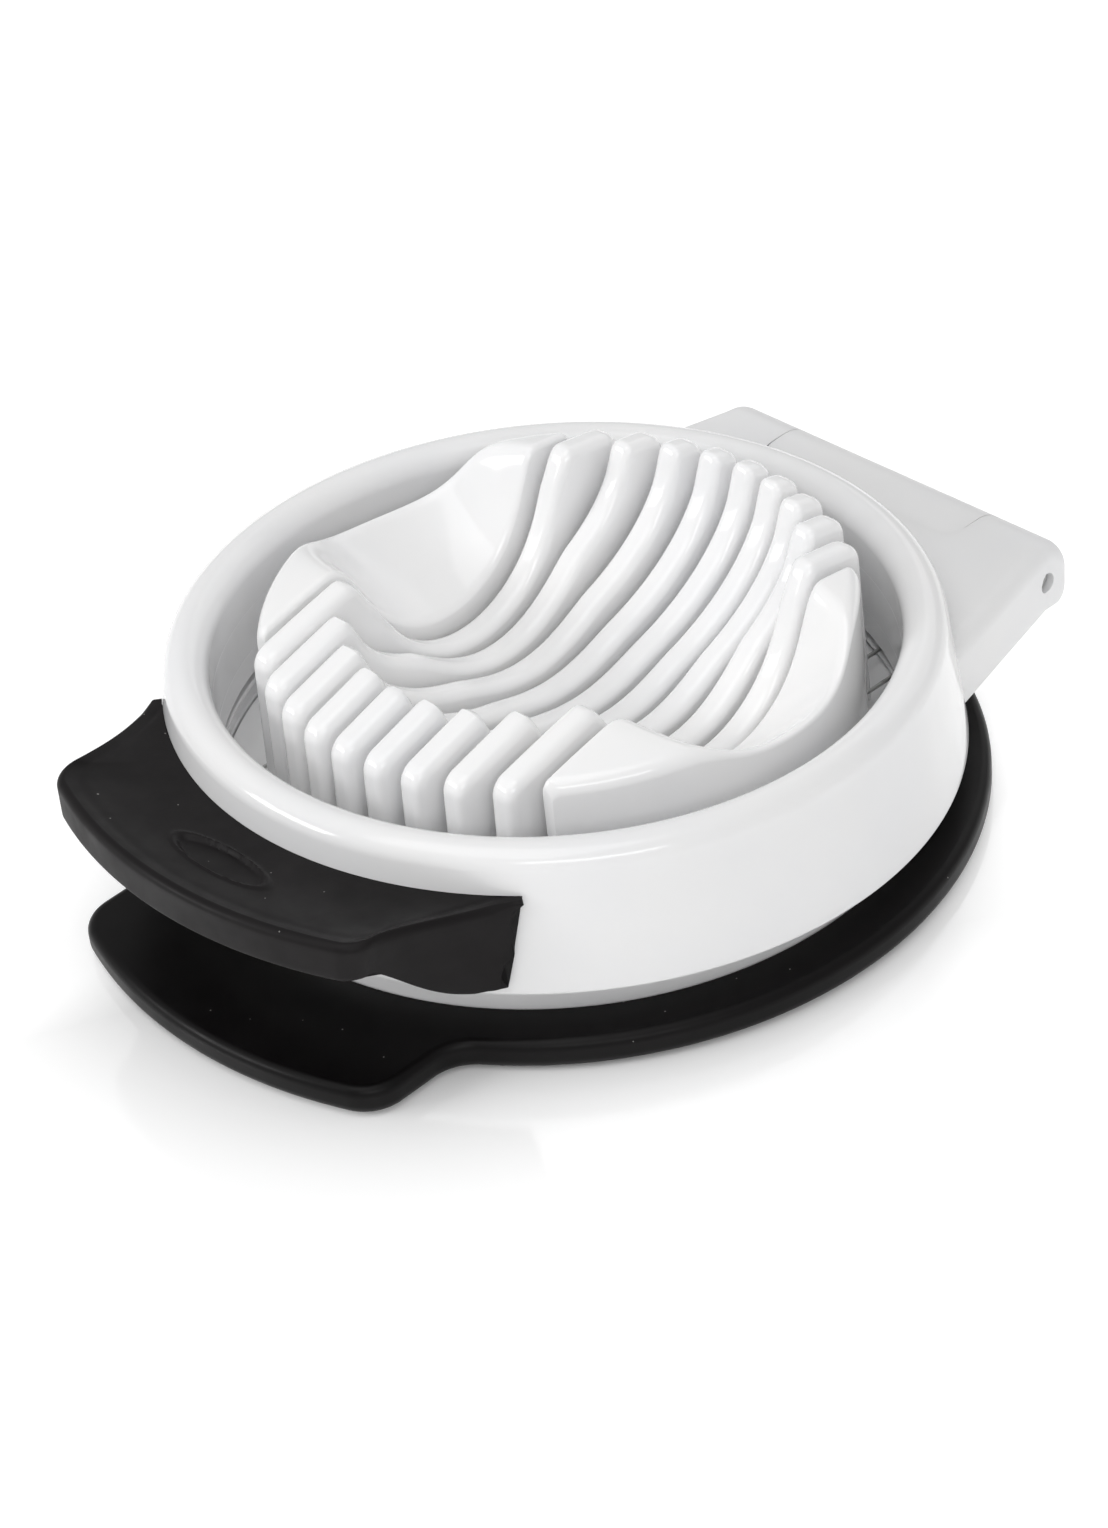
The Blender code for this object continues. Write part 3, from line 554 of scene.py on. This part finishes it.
def make_base_pad():
    """Soft base with a round recess for the drum and a channel for the arm."""
    levels = edge_levels(0.0, PAD_TOP, PAD_LOW_ROUND, PAD_ROUND)
    pad = make_object("soft_base", stack(tab_outline(), levels), SHADED_PAD_RUBBER)
    floor = DRUM_BOTTOM - SEAM
    recess = disc([(DRUM_RADIUS + SEAM, floor), (DRUM_RADIUS + SEAM, PAD_TOP + MM)])
    low, high, far = floor - 0.05 * MM, PAD_TOP + MM, 90.0 * MM
    width = KNUCKLE_HALF_WIDTH + SEAM
    channel = loft([[(x, y, z) for y, z in ((0.0, low), (far, low), (far, high), (0.0, high))]
                    for x in (-width, width)])
    combined(pad, [("DIFFERENCE", recess), ("DIFFERENCE", channel)], SHADED_PAD_RUBBER)
    finish_piece(pad, "base", ["base_pad"])


# ---------------------------------------------------------------- base body
def corner_stations(half_width, corner, steps=8):
    """(x, setback) pairs across a front with rounded corners in plan."""
    right = [(half_width - corner + corner * sin(a), corner * (1 - cos(a))) for a in quarter(steps)]
    return [(-x, setback) for x, setback in reversed(right)] + right


def knuckle_outline(front_radius):
    """Side view of the arm and the hinge knuckle."""
    front_top = pi - asin(BARREL_RADIUS / front_radius)
    front_low = pi + asin((PIN.z - ARM_TOP) / front_radius)
    bottom = DRUM_BOTTOM + 0.2 * MM
    outline = [(ARM_FRONT, bottom), (ARM_BACK, bottom)]
    outline += arc((PIN.y, PIN.z), BARREL_RADIUS, -radians(100), pi / 2, 40)
    outline += arc((PIN.y, PIN.z), front_radius, front_top, front_low, 18)
    return outline + [(ARM_FRONT, ARM_TOP)]


def knuckle():
    """Arm and hinge knuckle, whose upright front is rounded at both corners in plan."""
    loops = []
    for x, setback in corner_stations(KNUCKLE_HALF_WIDTH, KNUCKLE_CORNER):
        loops.append([(x, y, z) for y, z in knuckle_outline(KNUCKLE_FRONT_RADIUS - setback)])
    return loft(loops)


def screw_places():
    """Middle and head radius of each screw."""
    places = []
    for node in SCREW_NODES:
        low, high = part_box(node)
        places.append((0.5 * (low[0] + high[0]), 0.5 * (low[1] + high[1]), 0.5 * (high[0] - low[0])))
    return places


def make_base_body():
    """Rigid base: drum with a tray for the cradle, arm and knuckle, two rest posts, screw holes."""
    r, edge, small = DRUM_RADIUS, 0.5 * MM, 0.3 * MM
    rim = [(r - edge + edge * sin(a), DRUM_TOP - edge + edge * cos(a)) for a in reversed(quarter(5))]
    inner = [(TRAY_RADIUS + small * (1 - sin(a)), DRUM_TOP - small * (1 - cos(a))) for a in quarter(4)]
    levels = [(r - small, DRUM_BOTTOM), (r, DRUM_BOTTOM + small)] + rim + inner
    levels += [(TRAY_RADIUS, DRUM_FLOOR + small), (TRAY_RADIUS - small, DRUM_FLOOR)]
    body = make_object("rigid_base", disc(levels), GLOSS_WHITE)
    steps = [("UNION", knuckle()), ("DIFFERENCE", bore_at_pin(KNUCKLE_HALF_WIDTH + MM))]
    for side in (-1, 1):
        x = side * REST_PAD_SPREAD
        y = -sqrt((0.5 * (TRAY_RADIUS + DRUM_RADIUS)) ** 2 - x ** 2)
        foot, top = REST_PAD_RADIUS, REST_PAD_TOP
        post = [(foot, DRUM_TOP - MM), (foot - 0.15 * MM, top - 0.3 * MM),
                (foot - 0.25 * MM, top - 0.1 * MM), (foot - 0.5 * MM, top)]
        steps.append(("UNION", disc(post, 32, (x, y))))
    for x, y, head in screw_places():
        wide, narrow = head + SEAM, SCREW_HOLE_SHARE * head
        sink = [(wide, DRUM_BOTTOM - MM), (wide, DRUM_BOTTOM + SCREW_SINK),
                (narrow, DRUM_BOTTOM + SCREW_CONE_END), (narrow, DRUM_FLOOR + MM)]
        steps.append(("DIFFERENCE", disc(sink, 32, (x, y))))
    combined(body, steps, GLOSS_WHITE, SATIN_WHITE)
    for face in body.data.polygons:
        if face.center.y > DRUM_RADIUS:
            face.material_index = 1
    finish_piece(body, "base", ["base_body"])


# ---------------------------------------------------------------- egg cradle
def smooth_min(a, b, blend):
    """The lower of two heights, with a round crease where they meet."""
    h = max(blend - abs(a - b), 0.0) / blend
    return min(a, b) - h * h * blend / 4


def hollow(bottom, distance):
    """Round trough wall: distance is 0 on the centre line and 1 at the rim."""
    depth = BOWL_RIM - bottom
    if distance < HOLLOW_ROUND_END:
        return bottom + depth * (1 - sqrt(1 - distance * distance))
    return bottom + depth * HOLLOW_ROUND_HEIGHT + HOLLOW_RIM_SLOPE * (distance - HOLLOW_ROUND_END)


def cradle_height(x, y):
    """Top of the cradle: a shallow crown cut by a lengthwise bowl and a crosswise scoop."""
    from_rim = CRADLE_RADIUS - hypot(x, y - CRADLE_Y)
    crown = SHOULDER_Z + CROWN_SLOPE * from_rim + CROWN_TILT * (y - CRADLE_Y)
    half_length = BOWL_FRONT_LENGTH if y < BOWL_Y else BOWL_HALF_LENGTH
    bowl = hollow(BOWL_BOTTOM, hypot(x / BOWL_HALF_WIDTH, (y - BOWL_Y) / half_length))
    along = max(abs(x) - SCOOP_START, 0.0) / (CRADLE_RADIUS - SCOOP_START)
    half_width = SCOOP_HALF_WIDTH * (1 - SCOOP_NARROWING * along)
    scoop = hollow(BOWL_BOTTOM + SCOOP_RISE * along ** 1.6, abs(y - BOWL_Y - SCOOP_SHIFT) / half_width)
    return smooth_min(smooth_min(bowl, scoop, RIM_BLEND), crown, RIM_BLEND)


def rib_top(x, y, inset_depth):
    """Height of a rib's surface an even depth under its ridge."""
    reach, most = 0.8 * MM, 2.2
    slope = (cradle_height(x, y + reach) - cradle_height(x, y - reach)) / (2 * reach)
    return cradle_height(x, y) - inset_depth * min(sqrt(1 + slope * slope), most)


def rib_path(x, inset_depth):
    """Side view of a rib: up the front face, round the shoulder, over the bowl and down the back."""
    reach = sqrt(CRADLE_RADIUS ** 2 - x * x)
    front, back = CRADLE_Y - reach + inset_depth, CRADLE_Y + reach - inset_depth
    foot = CRADLE_FOOT
    r, steps = SHOULDER_ROUND - 0.5 * inset_depth, 110
    top = []
    for k in range(steps + 1):
        y = front + r + (back - front - 2 * r) * (0.5 - 0.5 * cos(pi * k / steps))
        top.append((y, rib_top(x, y, inset_depth)))
    lean = atan2(top[1][1] - top[0][1], top[1][0] - top[0][0])
    first = shoulder(front, top[0], lean, 1)
    lean = atan2(top[-2][1] - top[-1][1], top[-1][0] - top[-2][0])
    last = shoulder(back, top[-1], lean, -1)
    rise = first[0][1] - foot
    fall = last[-1][1] - foot
    up = [(front - CRADLE_DRAFT * (1 - k / 6), foot + rise * k / 6) for k in range(6)]
    down = [(back + CRADLE_DRAFT * k / 6, foot + fall * (1 - k / 6)) for k in range(1, 7)]
    return up + first + top[1:-1] + last + down


def shoulder(face, touch, lean, direction):
    """Arc from an upright face to the first point of the top curve."""
    r = abs(touch[0] - face) / (1 - sin(lean))
    centre = (touch[0] + direction * r * sin(lean), touch[1] - r * cos(lean))
    steps = 9
    sweep = 0.5 * pi - lean
    points = [(centre[0] - direction * r * cos(sweep * k / steps), centre[1] + r * sin(sweep * k / steps))
              for k in range(steps + 1)]
    return points if direction > 0 else points[::-1]


def rib_solid(x):
    """Rib with rounded edges: side views of less and less depth towards its middle."""
    half, r = RIB_WIDTH / 2, RIB_ROUND
    left = [(-half + r * (1 - cos(a)), r * (1 - sin(a))) for a in quarter(7)]
    stations = left + [(-across, depth) for across, depth in reversed(left)]
    return loft([[(x + across, y, z) for y, z in rib_path(x, depth)] for across, depth in stations])


def rounding(distance, radius):
    """Drop of a rounded edge at a distance from the wall."""
    if distance >= radius:
        return 0.0
    return radius - sqrt(max(radius ** 2 - (radius - max(distance, 0.0)) ** 2, 0.0))


def end_shares(count, tight):
    """Shares from 0 to 1, closer together near both ends."""
    return [t - tight * sin(2 * pi * t) / (2 * pi) for t in (k / count for k in range(count + 1))]


def softened(heights, rounds):
    """Average each height with its neighbours, so that creases become round."""
    for _ in range(rounds):
        before = [row[:] for row in heights]
        for i, row in enumerate(heights):
            below, above = before[max(i - 1, 0)], before[min(i + 1, len(before) - 1)]
            for j in range(len(row)):
                left, right = before[i][max(j - 1, 0)], before[i][min(j + 1, len(row) - 1)]
                row[j] = 0.2 * (before[i][j] + left + right + below[j] + above[j])
    return heights


def end_piece(side):
    """Scooped end of the cradle outside the last slot, with rounded rims."""
    inner = (len(WIRE_NODES) / 2 - 0.5) * RIB_PITCH + 0.5 * (RIB_PITCH - RIB_WIDTH)
    reach = sqrt(CRADLE_RADIUS ** 2 - (inner + END_PIECE_TIP) ** 2)
    places = []
    for v in end_shares(170, 0.8):
        y = CRADLE_Y - reach + 2 * reach * v
        outer = sqrt(CRADLE_RADIUS ** 2 - (y - CRADLE_Y) ** 2)
        places.append([(inner + (outer - inner) * u, y) for u in end_shares(48, 0.8)])
    heights = softened([[cradle_height(x, y) for x, y in row] for row in places], END_PIECE_SMOOTHING)
    rows = []
    for row, row_heights in zip(places, heights):
        points = []
        for (x, y), z in zip(row, row_heights):
            to_wall = CRADLE_RADIUS - hypot(x, y - CRADLE_Y)
            to_tip = reach - abs(y - CRADLE_Y)
            drop = (rounding(x - inner, END_PIECE_EDGE) + rounding(to_wall, END_PIECE_WALL_ROUND)
                    + rounding(to_tip, END_PIECE_EDGE))
            points.append((side * x, y, z - drop))
        rows.append(points)
    return solid_under(rows, CRADLE_FOOT)


def solid_under(rows, foot):
    """Solid between a grid of top points and a flat foot."""
    bm = bmesh.new()
    top = [[bm.verts.new(p) for p in row] for row in rows]
    for low, high in zip(top, top[1:]):
        for a, b, c, d in zip(low, low[1:], high[1:], high):
            bm.faces.new((a, b, c, d))
    rim = top[0][:-1] + [row[-1] for row in top[:-1]] + top[-1][:0:-1] + [row[0] for row in top[:0:-1]]
    base = [bm.verts.new((vert.co.x, vert.co.y, foot)) for vert in rim]
    for i in range(len(rim)):
        j = (i + 1) % len(rim)
        bm.faces.new((rim[i], rim[j], base[j], base[i]))
    bm.faces.new(base)
    return bm


def make_egg_cradle():
    """Floor plate with the ribs and the two end pieces on it."""
    r, edge = CRADLE_FLOOR_RADIUS, 0.3 * MM
    floor = disc([(r - edge, CRADLE_FLOOR_BOTTOM), (r, CRADLE_FLOOR_BOTTOM + edge),
                  (r, CRADLE_FLOOR_TOP - edge), (r - 0.3 * edge, CRADLE_FLOOR_TOP - 0.3 * edge),
                  (r - edge, CRADLE_FLOOR_TOP)])
    cradle = make_object("slotted_cradle", floor, LIT_CRADLE_WHITE)
    ribs = len(WIRE_NODES) - 1
    solids = [rib_solid((k - (ribs - 1) / 2) * RIB_PITCH) for k in range(ribs)]
    solids += [end_piece(-1), end_piece(1)]
    combined(cradle, [("UNION", solid) for solid in solids], LIT_CRADLE_WHITE)
    finish_piece(cradle, "base", ["egg_cradle"], 40.0)


# ---------------------------------------------------------------- ring with the hinge block
def wall_radius(z):
    """Outer radius of the ring's drafted wall."""
    return RING_OUTER - (z - RING_BOTTOM) * RING_WALL_SLOPE


def ring_profile():
    """Section of the ring: drafted wall, round lip, inner wall with two fine grooves, channel."""
    lip_z = RING_TOP - RING_LIP_ROUND
    edge = 0.4 * MM
    outer = [(RING_OUTER - edge, RING_BOTTOM), (RING_OUTER - 0.3 * edge, RING_BOTTOM + 0.3 * edge)]
    outer += [(wall_radius(z), z) for z in (RING_BOTTOM + edge + k * MM for k in range(16))]
    top = arc((RING_LIP_RADIUS, lip_z), RING_LIP_ROUND, atan2(RING_WALL_SLOPE, 1.0), pi, 24)
    inner = []
    half, deep, corner = 0.15 * MM, 0.05 * MM, 0.3 * MM
    for z in INNER_GROOVES:
        inner += [(RING_INNER, z + half), (RING_INNER + deep, z), (RING_INNER, z - half)]
    inner += [(RING_INNER, INNER_WALL_BOTTOM + corner), (RING_INNER + corner, INNER_WALL_BOTTOM)]
    slope = 0.8 * MM
    channel = [(CHANNEL_INNER, INNER_WALL_BOTTOM), (CHANNEL_INNER, CHANNEL_TOP - MM),
               (CHANNEL_INNER + slope, CHANNEL_TOP), (CHANNEL_OUTER - slope, CHANNEL_TOP),
               (CHANNEL_OUTER, CHANNEL_TOP - MM), (CHANNEL_OUTER, RING_BOTTOM)]
    return outer + top + inner + channel


def block_half_width(y):
    """Half-width of the hinge block: it widens towards the ring and rounds off at the back."""
    past = y - (PIN.y + BARREL_RADIUS - BLOCK_EDGE)
    if past > 0.0:
        return BLOCK_HALF_WIDTH - BLOCK_EDGE + sqrt(max(BLOCK_EDGE ** 2 - past ** 2, 0.0))
    return BLOCK_HALF_WIDTH + BLOCK_TAPER * max(PIN.y - y, 0.0)


def block_section(y, top, bottom):
    """Upright section of the hinge block with rounded upper edges and small lower ones."""
    half = block_half_width(y)
    high = min(BLOCK_EDGE, 0.45 * (top - bottom))
    low = min(BLOCK_LOW_EDGE, high)
    right = [(half - low + low * sin(a), bottom + low - low * cos(a)) for a in quarter(4)]
    right += arc((half - high, top - high), high, 0.0, pi / 2, 10)
    return [(x, y, z) for x, z in right + [(-x, z) for x, z in reversed(right)]]


def hinge_block():
    """Block behind the ring: level on top as far as the pin, then round about the pin."""
    flat_steps, round_steps = 46, 26
    flat = [BLOCK_FRONT + (PIN.y - BLOCK_FRONT) * k / flat_steps for k in range(flat_steps)]
    stations = [(y, BARREL_TOP, BLOCK_BOTTOM) for y in flat]
    for k in range(round_steps):
        angle = 0.5 * pi * (1 - k / round_steps)
        rise = BARREL_RADIUS * sin(angle)
        stations.append((PIN.y + BARREL_RADIUS * cos(angle), PIN.z + rise, max(PIN.z - rise, BLOCK_BOTTOM)))
    return loft([block_section(*station) for station in stations])


def knuckle_pocket():
    """Room for the base's knuckle, with an even seam round it."""
    loops = []
    for x, setback in corner_stations(KNUCKLE_HALF_WIDTH + SIDE_SEAM, KNUCKLE_CORNER + SIDE_SEAM):
        radius = KNUCKLE_FRONT_RADIUS + SEAM - setback
        front = arc((PIN.y, PIN.z), radius, radians(110), radians(250), 36)
        behind = PIN.y + 2 * KNUCKLE_FRONT_RADIUS
        outline = [(behind, front[0][1])] + front + [(behind, front[-1][1])]
        loops.append([(x, y, z) for y, z in outline])
    return loft(loops)


def block_above_channel():
    """The hinge block without the part that would fill the ring's inside."""
    block = make_object("block", hinge_block(), SATIN_WHITE)
    core_radius, far = 0.5 * (CHANNEL_OUTER + wall_radius(BARREL_TOP)), 50.0 * MM
    core = disc([(core_radius, -far), (core_radius, far)])
    combined(block, [("DIFFERENCE", core)], SATIN_WHITE)
    bm = bmesh.new()
    bm.from_mesh(block.data)
    bpy.data.objects.remove(block)
    return bm


def make_ring():
    """Ring and hinge block in one, glossy on the ring and satin on the block."""
    ring = make_object("hinged_ring", turned_ring(ring_profile()), GLOSS_WHITE)
    steps = [("UNION", block_above_channel()), ("DIFFERENCE", knuckle_pocket()),
             ("DIFFERENCE", bore_at_pin(BLOCK_HALF_WIDTH + 5 * MM))]
    combined(ring, steps, GLOSS_WHITE, SATIN_WHITE)
    places = [vertex.co for vertex in ring.data.vertices]
    just_outside = 0.15 * MM
    for face in ring.data.polygons:
        reach = max(hypot(places[i].x, places[i].y) - wall_radius(places[i].z) for i in face.vertices)
        face.material_index = 1 if reach > just_outside and face.center.y > 0 else 0
    finish_piece(tilt(ring), "frame", ["wire_frame"])


def make_retainer():
    """Flat ring that closes the channel under the wires' hooked ends."""
    inner, outer = RING_INNER + 0.2 * MM, CHANNEL_OUTER - 0.3 * MM
    bottom, top = RING_BOTTOM + 0.2 * MM, WIRE_Z - WIRE_RADIUS - 0.3 * MM
    e = 0.2 * MM
    profile = [(inner + e, bottom), (outer - e, bottom), (outer, bottom + e), (outer, top - e),
               (outer - e, top), (inner + e, top), (inner, top - e), (inner, bottom + e)]
    ring = make_object("wire_clamp_ring", turned_ring(profile), GLOSS_WHITE)
    finish_piece(tilt(ring), "frame", ["wire_retainer"])


def make_hinge_pin():
    """Pin with slightly domed ends."""
    radius, half, dome = 0.5 * (PIN_HIGH[2] - PIN_LOW[2]), PIN_HIGH[0], 0.3 * MM
    stations = [(-half, radius - dome), (-half + 0.3 * dome, radius - 0.3 * dome), (-half + dome, radius)]
    stations += [(-x, r) for x, r in reversed(stations)]
    pin = make_object("pivot_pin", rod_along_x(stations, PIN.y, PIN.z, 32), STEEL)
    finish_piece(pin, "frame", ["hinge_pin"])


def make_wires():
    """Straight wires whose ends bend up into the ring's channel."""
    for number, node in enumerate(WIRE_NODES, 1):
        x = middle_x(node)
        reach = sqrt(WIRE_REACH ** 2 - x * x)
        bend = [(reach - WIRE_BEND + WIRE_BEND * sin(a), WIRE_Z + WIRE_BEND * (1 - cos(a)))
                for a in quarter(6)]
        half = [(reach * k / 8, WIRE_Z) for k in range(8)] + bend + [(reach, WIRE_Z + WIRE_HOOK)]
        points = [(-y, z) for y, z in reversed(half[1:])] + half
        data = bpy.data.curves.new("cutting_wire_%02d" % number, "CURVE")
        data.dimensions = "3D"
        data.bevel_depth = WIRE_RADIUS
        data.bevel_resolution = 4
        data.use_fill_caps = True
        spline = data.splines.new("POLY")
        spline.points.add(len(points) - 1)
        for point, (y, z) in zip(spline.points, points):
            point.co = (x, y, z, 1.0)
        spline.use_smooth = True
        data.materials.append(STEEL)
        wire = bpy.data.objects.new(data.name, data)
        bpy.context.scene.collection.objects.link(wire)
        tilt(wire)
        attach(wire, "frame")
        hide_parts(node)


# ---------------------------------------------------------------- grip
def grip_outline():
    """Outer edge of the grip, right half from the middle of the front to its end on the ring."""
    corner_x = GRIP_HALF_WIDTH - GRIP_CORNER
    corner_y = -sqrt((GRIP_REACH - GRIP_CORNER) ** 2 - corner_x ** 2)
    lean = asin(corner_x / (GRIP_REACH - GRIP_CORNER))
    front = arc((0.0, 0.0), GRIP_REACH, -pi / 2, -pi / 2 + lean, 110)
    turn_back = arc((corner_x, corner_y), GRIP_CORNER, -pi / 2 + lean, GRIP_SIDE_LEAN, 28)[1:]
    end_radius = wall_radius(GRIP_INNER_TOP) + GRIP_SKIN
    end = Vector((end_radius * sin(GRIP_END_ANGLE), -end_radius * cos(GRIP_END_ANGLE)))
    start = Vector(turn_back[-1])
    pull_a, pull_b = start + Vector(GRIP_SIDE_PULL), end + Vector(GRIP_END_PULL)
    steps = 60
    side = []
    for k in range(1, steps + 1):
        t = k / steps
        side.append(tuple(start * (1 - t) ** 3 + pull_a * 3 * t * (1 - t) ** 2
                          + pull_b * 3 * t * t * (1 - t) + end * t ** 3))
    return front + turn_back + side


def path_shares(points):
    """Share of the outline's length at each point."""
    lengths = [0.0]
    for a, b in zip(points, points[1:]):
        lengths.append(lengths[-1] + hypot(b[0] - a[0], b[1] - a[1]))
    return [length / lengths[-1] for length in lengths]


def badge_relief(x, y):
    """Blank oval badge: a fine raised rim round a sunken field with a crisp step."""
    across = hypot(x / BADGE_HALF_LENGTH, (y - BADGE_Y) / BADGE_HALF_WIDTH)
    to_rim = (across - 1.0) * BADGE_HALF_WIDTH
    rim = BADGE_RIM_HEIGHT * exp(-((to_rim - BADGE_RIM_PLACE) / BADGE_RIM_WIDTH) ** 2)
    inside = min(max((-0.05 * MM - to_rim) / BADGE_STEP, 0.0), 1.0)
    return rim - BADGE_DEPTH * inside * inside * (3 - 2 * inside)


def grip_drop(y):
    """How far the section has changed from the front's (0) to the thin end's on the ring (1)."""
    start, end = -GRIP_REACH + 2 * GRIP_CORNER, -RING_OUTER * cos(GRIP_END_ANGLE)
    along = min(max((y - start) / (end - start), 0.0), 1.0)
    return sin(0.5 * pi * along) ** 1.2


def grip_top_height(top_out, along):
    """Height of the grip's top, dished from the ring (0) to its outer edge (1)."""
    return GRIP_INNER_TOP + (top_out - GRIP_INNER_TOP) * along ** 2.4


def grip_bead(from_edge, length):
    """Shallow groove along the grip's outer edge, which fades where the grip gets narrow."""
    groove = exp(-((from_edge - GRIP_BEAD_PLACE) / GRIP_BEAD_WIDTH) ** 2)
    return -GRIP_BEAD * groove * min(1.0, length / (4 * MM))


def grip_section(x, y, share):
    """Closed section of the grip; share runs from 0 in front to 1 at the end on the ring."""
    slant = GRIP_END_SLANT * share ** 3
    rise = grip_drop(y)
    top_out = GRIP_OUTER_TOP + (GRIP_INNER_TOP - GRIP_OUTER_TOP) * rise
    low_out = top_out - GRIP_FRONT_HEIGHT + (GRIP_INNER_BOTTOM - top_out + GRIP_FRONT_HEIGHT) * rise
    inner = []
    for z, lean in ((GRIP_INNER_BOTTOM, slant), (GRIP_INNER_TOP, 0.0)):
        r, angle = wall_radius(z) + GRIP_GAP, share * GRIP_END_ANGLE - lean
        inner.append(Vector((r * sin(angle), -r * cos(angle), z)))
    outer = Vector((x, y, 0.0))
    span = Vector((inner[1].x, inner[1].y, 0.0)) - outer
    inward, length = span.normalized(), span.length
    round_top, round_low = min(GRIP_TOP_ROUND, 0.35 * length), min(GRIP_LOW_ROUND, 0.3 * length)
    points = [inner[0].lerp(inner[1], k / 6) for k in range(7)]
    top_steps, side_steps, under_steps = 64, 8, 12
    for k in range(1, top_steps + 1):
        along = 1 - (1 - k / top_steps) ** 1.15
        point = inner[1].lerp(outer + inward * round_top + Vector((0, 0, top_out)), along)
        point.z = grip_top_height(top_out, along)
        from_edge = (1 - along) * (length - round_top)
        point.z += grip_bead(from_edge, length) + badge_relief(point.x, point.y)
        points.append(point)
    for a in quarter(8)[1:-1]:
        level = Vector((0, 0, top_out - round_top * (1 - cos(a))))
        points.append(outer + inward * round_top * (1 - sin(a)) + level)
    low = outer * (1 + rise * (wall_radius(low_out) - wall_radius(top_out)) / outer.length)
    low.rotate(Matrix.Rotation(-slant, 3, "Z"))
    for k in range(side_steps):
        u = k / side_steps
        point = outer.lerp(low, u)
        point.z = (top_out - round_top) * (1 - u) + (low_out + round_low) * u
        points.append(point)
    for a in quarter(5):
        level = Vector((0, 0, low_out + round_low * (1 - sin(a))))
        points.append(low + inward * round_low * (1 - cos(a)) + level)
    last = points[-1]
    points += [last.lerp(inner[0], k / under_steps) for k in range(1, under_steps)]
    return points


def flash_wave(z, side):
    """Uneven edge where the rubber was moulded onto the ring, as an angle."""
    long_wave = noise.noise(Vector((side * 7.0, z * 420.0, 0.0)))
    short_wave = noise.noise(Vector((side * 3.0, z * 1100.0, 4.0)))
    return FLASH_TURN * (long_wave + 0.5 * short_wave)


def ragged_edge(point):
    """Uneven lower edge of the rubber, which fades upwards."""
    lowness = max(0.0, 1.0 - (point.z - GRIP_INNER_BOTTOM) / RAGGED_HEIGHT)
    place = Vector((point.x * RAGGED_SCALE, point.y * RAGGED_SCALE, 2.0))
    return RAGGED_DEPTH * lowness * noise.noise(place)


def make_grip():
    """Thumb grip over the front of the ring, with thin ends that lie on the ring's wall."""
    half = grip_outline()
    shares = path_shares(half)
    right = [grip_section(x, y, share) for (x, y), share in zip(half, shares)]
    left = [[Vector((-p.x, p.y, p.z)) for p in section] for section in right[:0:-1]]
    sections = left + right
    for index, weight in ((0, 1.0), (1, 0.5), (-2, 0.5), (-1, 1.0)):
        side = -1 if index in (0, 1) else 1
        for point in sections[index]:
            turn = side * weight * flash_wave(point.z, side)
            point.rotate(Matrix.Rotation(turn, 3, "Z"))
    for section in sections:
        for point in section:
            point.z += ragged_edge(point)
    grip = make_object("thumb_grip", loft(sections), GRIP_RUBBER)
    finish_piece(tilt(grip), "frame", ["grip"], 50.0)


# ---------------------------------------------------------------- stage, lights and camera
def make_floor():
    bm = bmesh.new()
    half = FLOOR_HALF_SIZE
    corners = ((-half, -half), (half, -half), (half, half), (-half, half))
    bm.faces.new([bm.verts.new((x, y, FLOOR_Z)) for x, y in corners])
    floor = make_object("table", bm, table_surface())


def add_softbox(name, place, size, watts):
    """Rectangular light that faces the object."""
    data = bpy.data.lights.new(name, "AREA")
    data.shape = "RECTANGLE"
    data.size, data.size_y = size
    data.energy = watts
    lamp = bpy.data.objects.new(name, data)
    bpy.context.scene.collection.objects.link(lamp)
    lamp.location = place
    lamp.rotation_euler = (-Vector(place)).to_track_quat("-Z", "Y").to_euler()


def make_lights():
    world = bpy.data.worlds.new("studio")
    world.use_nodes = True
    background = world.node_tree.nodes["Background"]
    background.inputs["Color"].default_value = (1.0, 1.0, 1.0, 1.0)
    background.inputs["Strength"].default_value = WORLD_LIGHT
    bpy.context.scene.world = world
    for softbox in SOFTBOXES:
        add_softbox(*softbox)


def make_camera():
    data = bpy.data.cameras.new("photo_view")
    data.sensor_width = 36.0
    data.lens = CAMERA_LENS
    data.clip_start = 0.01
    camera = bpy.data.objects.new("photo_view", data)
    bpy.context.scene.collection.objects.link(camera)
    aim = (CAMERA_AIM - CAMERA_PLACE).to_track_quat("-Z", "Y").to_matrix().to_4x4()
    camera.matrix_world = Matrix.Translation(CAMERA_PLACE) @ aim @ Matrix.Rotation(CAMERA_ROLL, 4, "Z")
    bpy.context.scene.camera = camera


def polish_screws():
    """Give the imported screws, which keep their shape, the steel's look."""
    for node in SCREW_NODES:
        mesh = frame["nodes"][node].data
        mesh.materials.clear()
        mesh.materials.append(STEEL)


make_camera()
make_floor()
make_lights()
bpy.context.scene.view_settings.view_transform = "Standard"
make_base_pad()
make_base_body()
make_egg_cradle()
make_ring()
make_retainer()
make_hinge_pin()
make_wires()
make_grip()
polish_screws()
